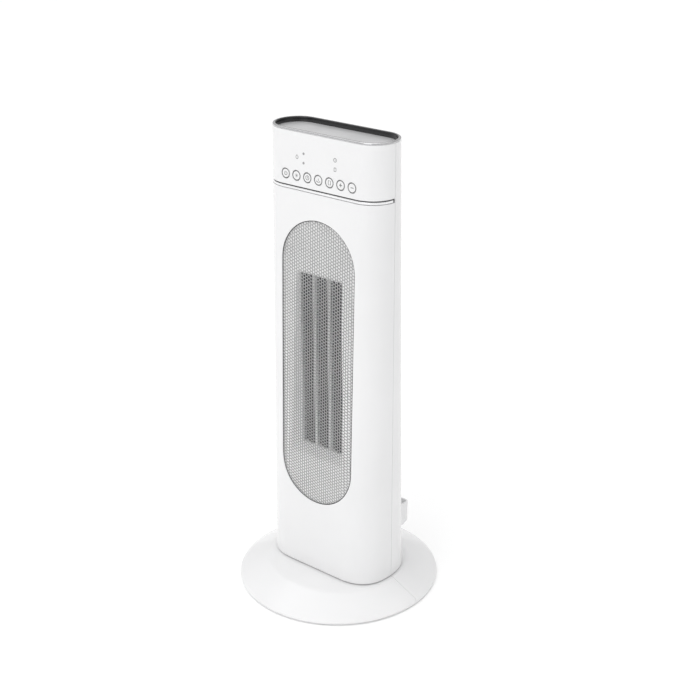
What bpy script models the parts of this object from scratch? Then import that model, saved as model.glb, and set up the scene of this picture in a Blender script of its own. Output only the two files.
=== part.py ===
"""Ceramic tower heater on a round swivel base, built as the separate pieces it is assembled from.

Metres, +Z up. The origin is on the floor under the swivel axis; the outlet grille faces -Y.
"""

import math

import bmesh
import bpy
from mathutils import Matrix, Vector

# Tower casing
TOWER_TOP = 0.6200
TOWER_HALF_WIDTH = 0.0910
TOP_HALF_DEPTH = 0.0313
FOOT_HALF_DEPTH = 0.0511
TOP_ROUNDNESS = 2.0
FOOT_ROUNDNESS = 2.5
WALL = 0.0025
GAP = 0.0003
END_STEPS = 9
SHELL_LEVELS = 4
CUT_OVERRUN = 0.0010
BLANK_MARGIN = 0.0100
OPENING_NEAR = 0.0050
OPENING_FAR = 0.0900

# Swivel base
BASE_RADIUS = 0.1353
PLATEAU_Z = 0.0250
PLATEAU_MARGIN = 0.0030
SHOULDER_INSET = 0.0058
SHOULDER_Z = 0.0075
BASE_UNDERSIDE_Z = 0.0015
FLANGE_WIDTH = 0.0300
BASE_STEPS = 28
FOOT_PAD_RADIUS = 0.0075
BALLAST_THICKNESS = 0.0030
BALLAST_Z = 0.0100
BALLAST_BORE_MARGIN = 0.0080
BALLAST_SCREW_HEAD = 0.0022
BALLAST_SCREW_RADIUS = 0.0014
BALLAST_SCREW_PILOT = 0.0018
BALLAST_SCREW_HOLE = 0.0020
RIM_FILLET = 0.0012
FOOT_PAD_SHIFT = 0.0010
TIP_SWITCH_MARGIN = 0.0090
TIP_SWITCH_HALF = 0.0065
TIP_SWITCH_BOTTOM = 0.0075
TIP_SWITCH_CLEARANCE = 0.0012
TIP_SWITCH_BALLAST_ROOM = 0.0115
PLUNGER_RADIUS = 0.0038
PLUNGER_BORE = 0.0044
PLUNGER_TIP_Z = 0.0002
PLUNGER_HEADROOM = 0.0020
BORE_HEADROOM = 0.0005

# Swivel bearing and its crank drive
FOOT_LIFT = 0.0018
BOTTOM_PLATE = 0.0025
HUB_RADIUS = 0.0160
HUB_BORE = 0.0110
HUB_CLEARANCE = 0.0006
HUB_FLANGE = 0.0025
HUB_STAND = 0.0034
PLATE_LIFT = 0.0015
PLATE_EDGE_GAP = 0.0004
GLIDE_SHELL_CLEARANCE = 0.0016
GLIDE_WIDTH = 0.0100
RETAINER_RADIUS = 0.0260
RETAINER_THICKNESS = 0.0020
SWING_DEGREES = 35.0
ARM_THICKNESS = 0.0020
ARM_HALF_WIDTH = 0.0090
ARM_SWEEP_CLEARANCE = 0.0034
ARM_END_WALL = 0.0030
CRANK_PIN_RADIUS = 0.0030
CRANK_SLOT_PLAY = 0.0012
CRANK_THICKNESS = 0.0025
CRANK_LIFT = 0.0030
CRANK_RIM = 0.0050
CRANK_STUB_RADIUS = 0.0030
CRANK_STUB_HEIGHT = 0.0045
CRANK_PIN_REACH = 0.0008
SOCKET_RADIUS = 0.0036
SLOT_START_PLAY = 0.0020
SWIVEL_MOTOR_RADIUS = 0.0245
SWIVEL_MOTOR_HEIGHT = 0.0155
SWIVEL_MOTOR_LIFT = 0.0010
SHELF_THICKNESS = 0.0020
SHELF_BOSS_GAP = 0.0015
SHELF_HOLE_X = -0.0200

# Head: accent band, keys and top trim
HEAD_HEIGHT = 0.0694
BAND_HEIGHT = 0.0050
KEY_COUNT = 7
KEY_PITCH = 0.0173
KEY_RADIUS = 0.0064
KEY_GAP = 0.0004
KEY_LENGTH = 0.0060
KEY_STEPS = 20
KEY_TRAVEL = 0.0008
KEY_DROP = 0.0563
BAND_INSET = 0.0003
BOARD_THICKNESS = 0.0016
BOARD_HALF_WIDTH = 0.0580
BOARD_KEY_GAP = 0.0010
BOARD_FOOT_MARGIN = 0.0040
BOARD_TOP_MARGIN = 0.0080
TRIM_WIDTH = 0.0043
TRIM_HEIGHT = 0.0028
TRIM_CHAMFER = 0.0008
TRIM_INNER_CHAMFER = 0.0007
TRIM_SKIRT = 0.0040
RECESS_DEPTH = 0.0064
TOP_PANEL_THICKNESS = 0.0015

# Outlet: perforated sheet, duct and ceramic heating core
GRILLE_RADIUS = 0.0584
GRILLE_TOP_MARGIN = 0.0332
GRILLE_FOOT_MARGIN = 0.0998
GRILLE_INSET = 0.0007
GRILLE_THICKNESS = 0.0008
DUCT_WALL = 0.0018
DUCT_FLARE = 0.0120
DUCT_FLARE_TOP = 0.0180
DUCT_FLARE_FOOT = 0.0120
DUCT_FLANGE = 0.0040
GRILLE_EDGE_GAP = 0.0006
WINDOW_HALF_WIDTH = 0.0335
WINDOW_TOP_MARGIN = 0.0739
WINDOW_FOOT_MARGIN = 0.0749
WINDOW_DEPTH = 0.0070
CORE_DEPTH = 0.0150
CORE_RAIL = 0.0045
HEATER_BAR_WIDTH = 0.0040
FIN_PITCH = 0.0080
FIN_FOLD_WIDTH = 0.0040
FIN_INSET = 0.0010
BAR_INSET = 0.0004
CUTOUT_RADIUS = 0.0075
CUTOUT_HEIGHT = 0.0070

# Blower
BLOWER_CORE_SPACE = 0.0045
BLOWER_FILTER_SPACE = 0.0012
BLADE_COUNT = 18
BLADE_DEPTH = 0.0048
BLADE_THICKNESS = 0.0009
WHEEL_DISC = 0.0015
WHEEL_STEPS = 30
SHAFT_RADIUS = 0.0025
BLOWER_MOTOR_RADIUS = 0.0185
BLOWER_MOTOR_HEIGHT = 0.0460
BLADE_SWEEP = 0.22
BLADE_OFFSET = 0.3
WHEEL_END_GAP = 0.0020
STAY_MARGIN = 0.0004
HOUSING_WALL = 0.0015
HOUSING_REACH = 0.0100
HOUSING_BORE = 0.0060
SCROLL_START_GAP = 0.0022
SCROLL_GROWTH = 0.0100
TONGUE_GAP = 0.0030
TONGUE_END_X = 0.0110
TONGUE_END_Y = 0.0060
MOTOR_DROP = 0.0040
MOTOR_BORE_GAP = 0.0008
SHAFT_STAND = 0.0060
SHAFT_HEAD = 0.0050
BRACKET_THICKNESS = 0.0020
BEARING_RADIUS = 0.0056
BEARING_BORE_GAP = 0.0005
BEARING_SEAT = 0.0012
BEARING_HEAD = 0.0030
POWER_BOARD_HALF_WIDTH = 0.0360
POWER_BOARD_Y = -0.0210
POWER_BOARD_HEIGHT = 0.0450
POWER_PART_LIFT = 0.0100
POWER_PART_FRONT = -0.0060
POWER_PARTS = ((-0.0220, 0.0080, 0.0160), (0.0020, 0.0080, 0.0160), (0.0240, 0.0060, 0.0220))

# Rear: intake grille, filter, mains switch, remote-control pocket, screws
INTAKE_HALF_WIDTH = 0.0440
INTAKE_TOP_MARGIN = 0.0760
INTAKE_FOOT_MARGIN = 0.1650
INTAKE_SLOT_PITCH = 0.0110
INTAKE_SLOT_HEIGHT = 0.0050
INTAKE_CORNER = 0.0080
INTAKE_EDGE_GAP = 0.0005
INTAKE_BORDER = 0.0065
INTAKE_RIB_HALF = 0.0015
INTAKE_SLOT_BORDER = 0.0160
FILTER_THICKNESS = 0.0012
FILTER_EDGE_GAP = 0.0015
SWITCH_X = -0.0280
SWITCH_Z = 0.0880
SWITCH_HALF_WIDTH = 0.0075
SWITCH_HALF_HEIGHT = 0.0105
SWITCH_BEZEL = 0.0010
SWITCH_PROUD = 0.0018
SWITCH_DEPTH = 0.0130
SWITCH_WELL_DEPTH = 0.0080
ROCKER_SIDE_MARGIN = 0.0018
ROCKER_END_MARGIN = 0.0012
ROCKER_SIDE_GAP = 0.0004
ROCKER_END_GAP = 0.0006
ROCKER_TIP_Z = 0.0014
ROCKER_DIP_Z = 0.0004
ROCKER_HEEL_Z = -0.0020
ROCKER_KEEL_Z = -0.0045
ROCKER_HEEL_SHARE = 0.92
ROCKER_TILT_DEGREES = 9.0
POCKET_RIGHT = 0.0705
POCKET_WIDTH = 0.0480
POCKET_BACK = 0.0655
POCKET_BOTTOM = 0.0715
POCKET_HEIGHT = 0.0335
POCKET_WALL = 0.0020
GLAND_X = 0.0120
GLAND_Z = 0.0520
GLAND_RADIUS = 0.0055
GLAND_BORE = 0.0036
GLAND_FLANGE = 0.0022
GLAND_PROUD = 0.0016
GLAND_DEPTH = 0.0100
SCREW_HEAD_RADIUS = 0.0032
SCREW_HOLE_RADIUS = 0.0037
BOSS_RADIUS = 0.0058
BOSS_DEPTH = 0.0090
SCREW_SEAT = 0.0030
SCREW_HEAD = 0.0022
SCREW_SHANK_RADIUS = 0.0015
SCREW_SHANK_HOLE = 0.0019
SCREW_LENGTH = 0.0100
LOWER_SCREW_X = 0.0360
LOWER_SCREW_RISE = 0.1150
UPPER_SCREW_X = 0.0500
UPPER_SCREW_DROP = 0.0250

# Places that follow from the sizes above
FOOT_Z = PLATEAU_Z + FOOT_LIFT
PLATEAU_RADIUS = TOWER_HALF_WIDTH + PLATEAU_MARGIN
SHOULDER_RADIUS = BASE_RADIUS - SHOULDER_INSET
FLANGE_INNER = BASE_RADIUS - FLANGE_WIDTH
BAND_TOP = TOWER_TOP - HEAD_HEIGHT
BAND_BOTTOM = BAND_TOP - BAND_HEIGHT
CASING_TOP = TOWER_TOP - TRIM_HEIGHT
GRILLE_TOP = BAND_BOTTOM - GRILLE_TOP_MARGIN
GRILLE_BOTTOM = FOOT_Z + GRILLE_FOOT_MARGIN
WINDOW_TOP = GRILLE_TOP - WINDOW_TOP_MARGIN
WINDOW_BOTTOM = GRILLE_BOTTOM + WINDOW_FOOT_MARGIN
INTAKE_TOP = BAND_BOTTOM - INTAKE_TOP_MARGIN
INTAKE_BOTTOM = FOOT_Z + INTAKE_FOOT_MARGIN
FACE_SLOPE = (FOOT_HALF_DEPTH - TOP_HALF_DEPTH) / (TOWER_TOP - FOOT_Z)
FACE_LEAN = math.atan(FACE_SLOPE)


# ---------------------------------------------------------------- modelling helpers


def finish(name, colour, roughness, metallic=0.0):
    """A Principled material."""
    material = bpy.data.materials.new(name)
    material.use_nodes = True
    shader = material.node_tree.nodes["Principled BSDF"]
    shader.inputs["Base Color"].default_value = (*colour, 1.0)
    shader.inputs["Roughness"].default_value = roughness
    shader.inputs["Metallic"].default_value = metallic
    return material


def add_object(name, mesh_data, material, parent=None, location=(0, 0, 0)):
    """Turn a bmesh into a named object with its faces pointing out and its round parts smooth."""
    bmesh.ops.remove_doubles(mesh_data, verts=mesh_data.verts, dist=1e-6)
    bmesh.ops.recalc_face_normals(mesh_data, faces=mesh_data.faces)
    mesh = bpy.data.meshes.new(name)
    mesh_data.to_mesh(mesh)
    mesh_data.free()
    mesh.shade_smooth()
    mesh.set_sharp_from_angle(angle=math.radians(35))
    obj = bpy.data.objects.new(name, mesh)
    bpy.context.scene.collection.objects.link(obj)
    obj.location = location
    obj.parent = parent
    if material is not None:
        mesh.materials.append(material)
    return obj


def boolean(target, other, operation):
    """Cut, join or trim target with a helper object that isn't part of the heater."""
    modifier = target.modifiers.new(operation.lower(), "BOOLEAN")
    modifier.operation = operation
    modifier.object = other
    other.hide_render = True
    other.display_type = "WIRE"
    return target


def cut(target, *cutters):
    for cutter in cutters:
        boolean(target, cutter, "DIFFERENCE")
    return target


def join(target, *others):
    for other in others:
        boolean(target, other, "UNION")
    return target


def trim(target, other):
    return boolean(target, other, "INTERSECT")


def half_depth(z):
    """Half the tower's depth at height z. It grows evenly from the top down to the foot."""
    return TOP_HALF_DEPTH + (TOWER_TOP - z) * FACE_SLOPE


def roundness(z):
    """Power of the curve round the tower's two ends: 2 is a half circle, more is squarer."""
    return TOP_ROUNDNESS + (FOOT_ROUNDNESS - TOP_ROUNDNESS) * (TOWER_TOP - z) / (TOWER_TOP - FOOT_Z)


def plan_curve(z, inset, side):
    """Half of the tower's plan at height z, moved in by inset, from the -X end to the +X end."""
    reach = half_depth(z) - inset
    straight = TOWER_HALF_WIDTH - half_depth(z)
    power = 2 / roundness(z)
    end = []
    for step in range(END_STEPS + 1):
        angle = math.pi / 2 * step / END_STEPS
        along = straight + reach * abs(math.cos(angle)) ** power
        across = max(reach * math.sin(angle) ** power, GAP / 2)
        end.append((along, side * across))
    left = [(-x, y) for x, y in end]
    return left + end[::-1]


def plan_ring(z, inset):
    """The tower's whole plan at height z, moved in by inset, as one closed outline."""
    return plan_curve(z, inset, -1) + plan_curve(z, inset, 1)[::-1]


def carried_round(name, profile, side, material, parent=None):
    """Carry a closed profile of (inset, z) points round the tower's plan, or round one side of it."""
    mesh_data = bmesh.new()
    rows = []
    for inset, z in profile:
        outline = plan_ring(z, inset) if side == 0 else plan_curve(z, inset, side)
        rows.append([mesh_data.verts.new((x, y, z)) for x, y in outline])
    count = len(rows[0])
    for index, row in enumerate(rows):
        after = rows[(index + 1) % len(rows)]
        for step in range(count if side == 0 else count - 1):
            beyond = (step + 1) % count
            mesh_data.faces.new((row[step], row[beyond], after[beyond], after[step]))
    if side != 0:
        mesh_data.faces.new([row[0] for row in rows])
        mesh_data.faces.new([row[-1] for row in rows])
    return add_object(name, mesh_data, material, parent)


def wall_profile(bottom, top, outer=0.0, inner=WALL):
    """Profile of a wall from bottom to top between two insets, with a point at each shell level."""
    levels = max(1, round(SHELL_LEVELS * (top - bottom) / (TOWER_TOP - FOOT_Z)))
    heights = [bottom + (top - bottom) * step / levels for step in range(levels + 1)]
    return [(outer, z) for z in heights] + [(inner, z) for z in reversed(heights)]


def plan_slab(name, inset, bottom, top, material, parent=None):
    """A solid with the tower's plan, moved in by inset, between two heights."""
    mesh_data = bmesh.new()
    low = [mesh_data.verts.new((x, y, bottom)) for x, y in plan_ring(bottom, inset)]
    high = [mesh_data.verts.new((x, y, top)) for x, y in plan_ring(top, inset)]
    mesh_data.faces.new(low)
    mesh_data.faces.new(high)
    bmesh.ops.bridge_loops(mesh_data, edges=[edge for edge in mesh_data.edges])
    return add_object(name, mesh_data, material, parent)


def extruded(name, outline, low, high, axis, material, parent=None, location=(0, 0, 0)):
    """Extrude an outline along Y (points are x, z) or along Z (points are x, y)."""
    mesh_data = bmesh.new()
    if axis == "Y":
        points = [(a, low, b) for a, b in outline]
        travel = Vector((0, high - low, 0))
    else:
        points = [(a, b, low) for a, b in outline]
        travel = Vector((0, 0, high - low))
    face = mesh_data.faces.new([mesh_data.verts.new(point) for point in points])
    made = bmesh.ops.extrude_face_region(mesh_data, geom=[face])["geom"]
    moved = [item for item in made if isinstance(item, bmesh.types.BMVert)]
    bmesh.ops.translate(mesh_data, verts=moved, vec=travel)
    return add_object(name, mesh_data, material, parent, location)


def block(name, low, high, material, parent=None, location=(0, 0, 0)):
    """A box between two corners."""
    outline = [(low[0], low[1]), (high[0], low[1]), (high[0], high[1]), (low[0], high[1])]
    return extruded(name, outline, low[2], high[2], "Z", material, parent, location)


def arc(centre, radius, start, stop, steps):
    """Points on a circle's arc between two angles in degrees."""
    angles = [math.radians(start + (stop - start) * step / steps) for step in range(steps + 1)]
    return [(centre[0] + radius * math.cos(a), centre[1] + radius * math.sin(a)) for a in angles]


def stadium(radius, low, high):
    """An upright outline with straight sides and a half circle at each end, in (x, z)."""
    upper = arc((0, high - radius), radius, 0, 180, 24)
    lower = arc((0, low + radius), radius, 180, 360, 24)
    return upper + lower


def round_rectangle(half_width, low, high, corner):
    """A rectangle with rounded corners, in (x, z)."""
    points = arc((half_width - corner, high - corner), corner, 0, 90, 4)
    points += arc((corner - half_width, high - corner), corner, 90, 180, 4)
    points += arc((corner - half_width, low + corner), corner, 180, 270, 4)
    points += arc((half_width - corner, low + corner), corner, 270, 360, 4)
    return points


def turned(name, profile, material, steps=32, parent=None, location=(0, 0, 0)):
    """Spin a closed profile of (radius, z) points a full turn about Z."""
    mesh_data = bmesh.new()
    points = [mesh_data.verts.new((radius, 0, z)) for radius, z in profile]
    edges = [mesh_data.edges.new((a, b)) for a, b in zip(points, points[1:] + points[:1])]
    bmesh.ops.spin(
        mesh_data,
        geom=points + edges,
        axis=(0, 0, 1),
        cent=(0, 0, 0),
        angle=math.tau,
        steps=steps,
        use_merge=True,
    )
    bmesh.ops.remove_doubles(mesh_data, verts=mesh_data.verts, dist=1e-6)
    on_axis = [e for e in mesh_data.edges if max(v.co.xy.length for v in e.verts) < 1e-7]
    bmesh.ops.delete(mesh_data, geom=on_axis, context="EDGES")
    return add_object(name, mesh_data, material, parent, location)


def ring(name, inner, outer, low, high, material, steps=32, parent=None, location=(0, 0, 0)):
    """A flat ring, or a tube, about Z."""
    profile = [(outer, high), (outer, low), (inner, low), (inner, high)]
    return turned(name, profile, material, steps, parent, location)


def cylinder(name, radius, low, high, material, steps=24, parent=None, location=(0, 0, 0)):
    """A solid cylinder about Z."""
    mesh_data = bmesh.new()
    middle = Matrix.Translation((0, 0, (low + high) / 2))
    bmesh.ops.create_cone(
        mesh_data,
        cap_ends=True,
        segments=steps,
        radius1=radius,
        radius2=radius,
        depth=high - low,
        matrix=middle,
    )
    return add_object(name, mesh_data, material, parent, location)


def face_out(obj, side):
    """Turn a piece made along +Z so that its +Z points straight out of the front (-1) or rear (1)."""
    obj.rotation_euler = (-side * math.pi / 2 + side * FACE_LEAN, 0, 0)
    return obj


def funnel(name, grow, front, back):
    """The duct's tapered space from the mouth at y front to the window at y back, grown on all sides."""
    mesh_data = bmesh.new()
    rows = []
    for y, share in ((front, 1.0), (back, 0.0)):
        across = WINDOW_HALF_WIDTH + share * DUCT_FLARE + grow
        low = WINDOW_BOTTOM - share * DUCT_FLARE_FOOT - grow
        high = WINDOW_TOP + share * DUCT_FLARE_TOP + grow
        corners = [(-across, low), (across, low), (across, high), (-across, high)]
        rows.append([mesh_data.verts.new((x, y, z)) for x, z in corners])
    mesh_data.faces.new(rows[0])
    mesh_data.faces.new(rows[1])
    for step in range(4):
        beyond = (step + 1) % 4
        mesh_data.faces.new((rows[0][step], rows[0][beyond], rows[1][beyond], rows[1][step]))
    return add_object(name, mesh_data, None)


# ---------------------------------------------------------------- start from an empty scene

for old in list(bpy.data.objects):
    bpy.data.objects.remove(old)

WHITE_GLOSS = finish("white_gloss_plastic", (0.86, 0.86, 0.87), 0.25)
WHITE_SATIN = finish("white_inner_plastic", (0.80, 0.80, 0.80), 0.45)
CHROME = finish("chrome_trim", (0.75, 0.76, 0.78), 0.12, 1.0)
BRUSHED = finish("brushed_silver", (0.62, 0.63, 0.65), 0.35, 1.0)
MESH_GREY = finish("perforated_steel", (0.66, 0.67, 0.68), 0.40, 1.0)
ALUMINIUM = finish("heater_aluminium", (0.60, 0.60, 0.61), 0.35, 1.0)
CERAMIC = finish("heater_bar_insulated", (0.70, 0.70, 0.68), 0.60)
BLACK = finish("black_plastic", (0.03, 0.03, 0.03), 0.50)
RUBBER = finish("foot_rubber", (0.05, 0.05, 0.05), 0.80)
STEEL = finish("zinc_steel", (0.55, 0.56, 0.58), 0.35, 1.0)
BOARD = finish("circuit_board", (0.05, 0.22, 0.10), 0.50)
FILTER = finish("filter_mesh", (0.10, 0.10, 0.11), 0.70)
ACETAL = finish("acetal_glide", (0.85, 0.84, 0.80), 0.35)

tower = bpy.data.objects.new("tower_axis", None)
bpy.context.scene.collection.objects.link(tower)


# ---------------------------------------------------------------- base: two halves, ballast, feet


def base_profile():
    """Closed (radius, z) section of the base: flat top, sloping apron, rounded rim, foot flange."""
    inside = PLATEAU_Z - WALL
    outer = [
        (HUB_RADIUS + HUB_CLEARANCE, PLATEAU_Z),
        (PLATEAU_RADIUS, PLATEAU_Z),
        (PLATEAU_RADIUS + 0.1 * (SHOULDER_RADIUS - PLATEAU_RADIUS), PLATEAU_Z - RIM_FILLET / 2),
        (SHOULDER_RADIUS, SHOULDER_Z),
        (BASE_RADIUS - RIM_FILLET, SHOULDER_Z - WALL - RIM_FILLET / 2),
        (BASE_RADIUS, BASE_UNDERSIDE_Z + RIM_FILLET),
        (BASE_RADIUS - RIM_FILLET, BASE_UNDERSIDE_Z),
    ]
    inner = [
        (FLANGE_INNER, BASE_UNDERSIDE_Z),
        (FLANGE_INNER, BASE_UNDERSIDE_Z + WALL),
        (SHOULDER_RADIUS - WALL, BASE_UNDERSIDE_Z + WALL),
        (SHOULDER_RADIUS - WALL, SHOULDER_Z - WALL / 2),
        (PLATEAU_RADIUS - WALL / 2, inside),
        (HUB_RADIUS + HUB_CLEARANCE, inside),
    ]
    return outer + inner


def base_half(name, side):
    """Half of the base, turned about the swivel axis on one side of the joint line along X."""
    mesh_data = bmesh.new()
    rows = []
    for step in range(BASE_STEPS + 1):
        angle = math.pi * step / BASE_STEPS
        across = side * math.sin(angle)
        rows.append(
            [
                mesh_data.verts.new((r * math.cos(angle), r * across + side * GAP / 2, z))
                for r, z in base_profile()
            ]
        )
    count = len(rows[0])
    for row, after in zip(rows, rows[1:]):
        for step in range(count):
            beyond = (step + 1) % count
            mesh_data.faces.new((row[step], row[beyond], after[beyond], after[step]))
    mesh_data.faces.new(rows[0])
    mesh_data.faces.new(rows[-1])
    return add_object(name, mesh_data, WHITE_GLOSS)


PLUNGER_Y = FLANGE_INNER - TIP_SWITCH_MARGIN
BALLAST_RADIUS = PLUNGER_Y - TIP_SWITCH_BALLAST_ROOM
BALLAST_BORE = RETAINER_RADIUS + BALLAST_BORE_MARGIN
BALLAST_TOP = BALLAST_Z + BALLAST_THICKNESS
boss_circle = (BALLAST_RADIUS + BALLAST_BORE) / 2

base_front = base_half("base_front_half", -1)
base_rear = base_half("base_rear_half", 1)
screw_places = []
for index, half in enumerate((base_front, base_rear)):
    at = (0, (2 * index - 1) * boss_circle, 0)
    screw_places.append(at)
    boss = cylinder(
        f"ballast_boss_{index + 1}",
        BOSS_RADIUS,
        BALLAST_TOP + GAP,
        PLATEAU_Z - WALL / 2,
        None,
        16,
        location=at,
    )
    pilot = cylinder(
        f"ballast_pilot_{index + 1}",
        BALLAST_SCREW_PILOT,
        BALLAST_Z - CUT_OVERRUN,
        PLATEAU_Z - WALL,
        None,
        12,
        location=at,
    )
    cut(join(half, boss), pilot)

ballast = ring(
    "ballast_plate", BALLAST_BORE, BALLAST_RADIUS, BALLAST_Z, BALLAST_TOP, STEEL, 40
)
for index, at in enumerate(screw_places):
    hole = cylinder(
        f"ballast_hole_{index + 1}",
        BALLAST_SCREW_HOLE,
        BALLAST_Z - CUT_OVERRUN,
        BALLAST_TOP + CUT_OVERRUN,
        None,
        12,
        location=at,
    )
    cut(ballast, hole)
    head = BALLAST_Z - GAP
    screw = [
        (0.0, head - BALLAST_SCREW_HEAD),
        (0.0, PLATEAU_Z - WALL - CUT_OVERRUN),
        (BALLAST_SCREW_RADIUS, PLATEAU_Z - WALL - CUT_OVERRUN),
        (BALLAST_SCREW_RADIUS, head),
        (SCREW_HEAD_RADIUS, head),
        (SCREW_HEAD_RADIUS, head - BALLAST_SCREW_HEAD),
    ]
    turned(f"base_screw_{index + 1}", screw[::-1], STEEL, 16, location=at)

pad_circle = (FLANGE_INNER + BASE_RADIUS) / 2 - FOOT_PAD_SHIFT
for index in range(4):
    angle = math.radians(45 + 90 * index)
    cylinder(
        f"foot_pad_{index + 1}",
        FOOT_PAD_RADIUS,
        0.0,
        BASE_UNDERSIDE_Z - GAP,
        RUBBER,
        24,
        location=(pad_circle * math.cos(angle), pad_circle * math.sin(angle), 0),
    )

# Tip-over switch under the rear half, with a plunger that the floor holds in. The switch reaches
# up to just under the sloping apron at its outer edge.
apron_start = (PLATEAU_RADIUS - WALL / 2, PLATEAU_Z - WALL)
apron_stop = (SHOULDER_RADIUS - WALL, SHOULDER_Z - WALL / 2)
apron_fall = (apron_start[1] - apron_stop[1]) / (apron_stop[0] - apron_start[0])
apron_z = apron_start[1] - apron_fall * (PLUNGER_Y + TIP_SWITCH_HALF - apron_start[0])
switch_top = min(apron_z, apron_start[1]) - TIP_SWITCH_CLEARANCE
plunger_at = (0.0, PLUNGER_Y, 0.0)
tip_body = block(
    "tip_switch_body",
    (-TIP_SWITCH_HALF, -TIP_SWITCH_HALF, TIP_SWITCH_BOTTOM),
    (TIP_SWITCH_HALF, TIP_SWITCH_HALF, switch_top),
    BLACK,
    location=plunger_at,
)
tip_bore = cylinder(
    "tip_bore",
    PLUNGER_BORE,
    TIP_SWITCH_BOTTOM - WALL,
    switch_top - PLUNGER_HEADROOM + BORE_HEADROOM,
    None,
    20,
    location=plunger_at,
)
cut(tip_body, tip_bore)
cylinder(
    "tip_plunger",
    PLUNGER_RADIUS,
    PLUNGER_TIP_Z,
    switch_top - PLUNGER_HEADROOM,
    WHITE_SATIN,
    20,
    location=plunger_at,
)


# ---------------------------------------------------------------- swivel bearing and crank drive

PLATE_BOTTOM = FOOT_Z + PLATE_LIFT
PLATE_TOP = PLATE_BOTTOM + BOTTOM_PLATE
HUB_TOP = PLATE_TOP + HUB_STAND
RETAINER_BOTTOM = HUB_TOP + GAP
ARM_BOTTOM = RETAINER_BOTTOM + RETAINER_THICKNESS + GAP
ARM_TOP = ARM_BOTTOM + ARM_THICKNESS
CRANK_BOTTOM = ARM_TOP + CRANK_LIFT
CRANK_TOP = CRANK_BOTTOM + CRANK_THICKNESS
SWIVEL_MOTOR_BOTTOM = CRANK_TOP + SWIVEL_MOTOR_LIFT
SHELF_BOTTOM = SWIVEL_MOTOR_BOTTOM + SWIVEL_MOTOR_HEIGHT + GAP
SHELF_TOP = SHELF_BOTTOM + SHELF_THICKNESS

swing = math.radians(SWING_DEGREES)
arm_room = FOOT_HALF_DEPTH - WALL - ARM_SWEEP_CLEARANCE
arm_half_angle = math.asin(ARM_HALF_WIDTH / arm_room * math.sin(swing))
ARM_REACH = arm_room / math.sin(swing + arm_half_angle)
slot_half_width = CRANK_PIN_RADIUS + CRANK_SLOT_PLAY
CRANK_X = (ARM_REACH - ARM_END_WALL - slot_half_width) / (1 + math.tan(swing))
CRANK_THROW = CRANK_X * math.tan(swing)

flange_top = PLATEAU_Z - WALL - GAP
hub_profile = [
    (HUB_BORE, HUB_TOP),
    (HUB_RADIUS, HUB_TOP),
    (HUB_RADIUS, flange_top),
    (RETAINER_RADIUS, flange_top),
    (RETAINER_RADIUS, flange_top - HUB_FLANGE),
    (HUB_BORE, flange_top - HUB_FLANGE),
]
turned("pivot_hub", hub_profile, STEEL, 40)
GLIDE_RADIUS = FOOT_HALF_DEPTH - WALL - GLIDE_SHELL_CLEARANCE
ring(
    "lower_glide_ring",
    GLIDE_RADIUS - GLIDE_WIDTH,
    GLIDE_RADIUS,
    PLATEAU_Z + GAP,
    PLATE_BOTTOM - GAP,
    ACETAL,
    40,
)
glide_bore = HUB_RADIUS + HUB_CLEARANCE
ring("upper_glide_ring", glide_bore, RETAINER_RADIUS, PLATE_TOP + GAP, HUB_TOP, ACETAL, 40)
retainer_top = RETAINER_BOTTOM + RETAINER_THICKNESS
ring("hub_retainer", HUB_BORE, RETAINER_RADIUS, RETAINER_BOTTOM, retainer_top, STEEL, 40)

arm = cylinder("drive_arm", RETAINER_RADIUS, ARM_BOTTOM, ARM_TOP, STEEL, 40)
arm_bar = block(
    "arm_bar",
    (0, -ARM_HALF_WIDTH, ARM_BOTTOM),
    (ARM_REACH, ARM_HALF_WIDTH, ARM_TOP),
    None,
)
arm_bore = cylinder("arm_bore", HUB_BORE, ARM_BOTTOM - CUT_OVERRUN, ARM_TOP + CUT_OVERRUN, None, 40)
slot_start = math.hypot(CRANK_X, CRANK_THROW) - SLOT_START_PLAY
slot_stop = CRANK_X + CRANK_THROW
slot_outline = arc((slot_stop, 0), slot_half_width, -90, 90, 10)
slot_outline += arc((slot_start, 0), slot_half_width, 90, 270, 10)
arm_slot = extruded(
    "arm_slot", slot_outline, ARM_BOTTOM - CUT_OVERRUN, ARM_TOP + CUT_OVERRUN, "Z", None
)
cut(join(arm, arm_bar), arm_bore, arm_slot)

crank_at = (CRANK_X, 0, 0)
crank_radius = CRANK_THROW + CRANK_RIM
crank_middle = (CRANK_BOTTOM + CRANK_TOP) / 2
crank = cylinder("crank_disc", crank_radius, CRANK_BOTTOM, CRANK_TOP, ACETAL, 36, tower, crank_at)
pin_at = (CRANK_X + CRANK_THROW, 0, 0)
pin_low = ARM_BOTTOM - CRANK_PIN_REACH
crank_pin = cylinder("crank_pin", CRANK_PIN_RADIUS, pin_low, crank_middle, None, 20, location=pin_at)
stub_top = CRANK_TOP + CRANK_STUB_HEIGHT
crank_stub = cylinder(
    "crank_stub", CRANK_STUB_RADIUS, crank_middle, stub_top, None, 16, location=crank_at
)
join(crank, crank_pin, crank_stub)

motor_top = SWIVEL_MOTOR_BOTTOM + SWIVEL_MOTOR_HEIGHT
swivel_motor = cylinder(
    "swivel_motor", SWIVEL_MOTOR_RADIUS, SWIVEL_MOTOR_BOTTOM, motor_top, STEEL, 36, tower, crank_at
)
motor_socket = cylinder(
    "motor_socket",
    SOCKET_RADIUS,
    SWIVEL_MOTOR_BOTTOM - CUT_OVERRUN,
    stub_top + CRANK_PIN_REACH,
    None,
    16,
    location=crank_at,
)
cut(swivel_motor, motor_socket)

bottom_plate = plan_slab("bottom_plate", WALL + PLATE_EDGE_GAP, PLATE_BOTTOM, PLATE_TOP, WHITE_SATIN, tower)
plate_bore = cylinder(
    "plate_bore", glide_bore, PLATE_BOTTOM - CUT_OVERRUN, PLATE_TOP + CUT_OVERRUN, None, 40
)
cut(bottom_plate, plate_bore)

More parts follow.
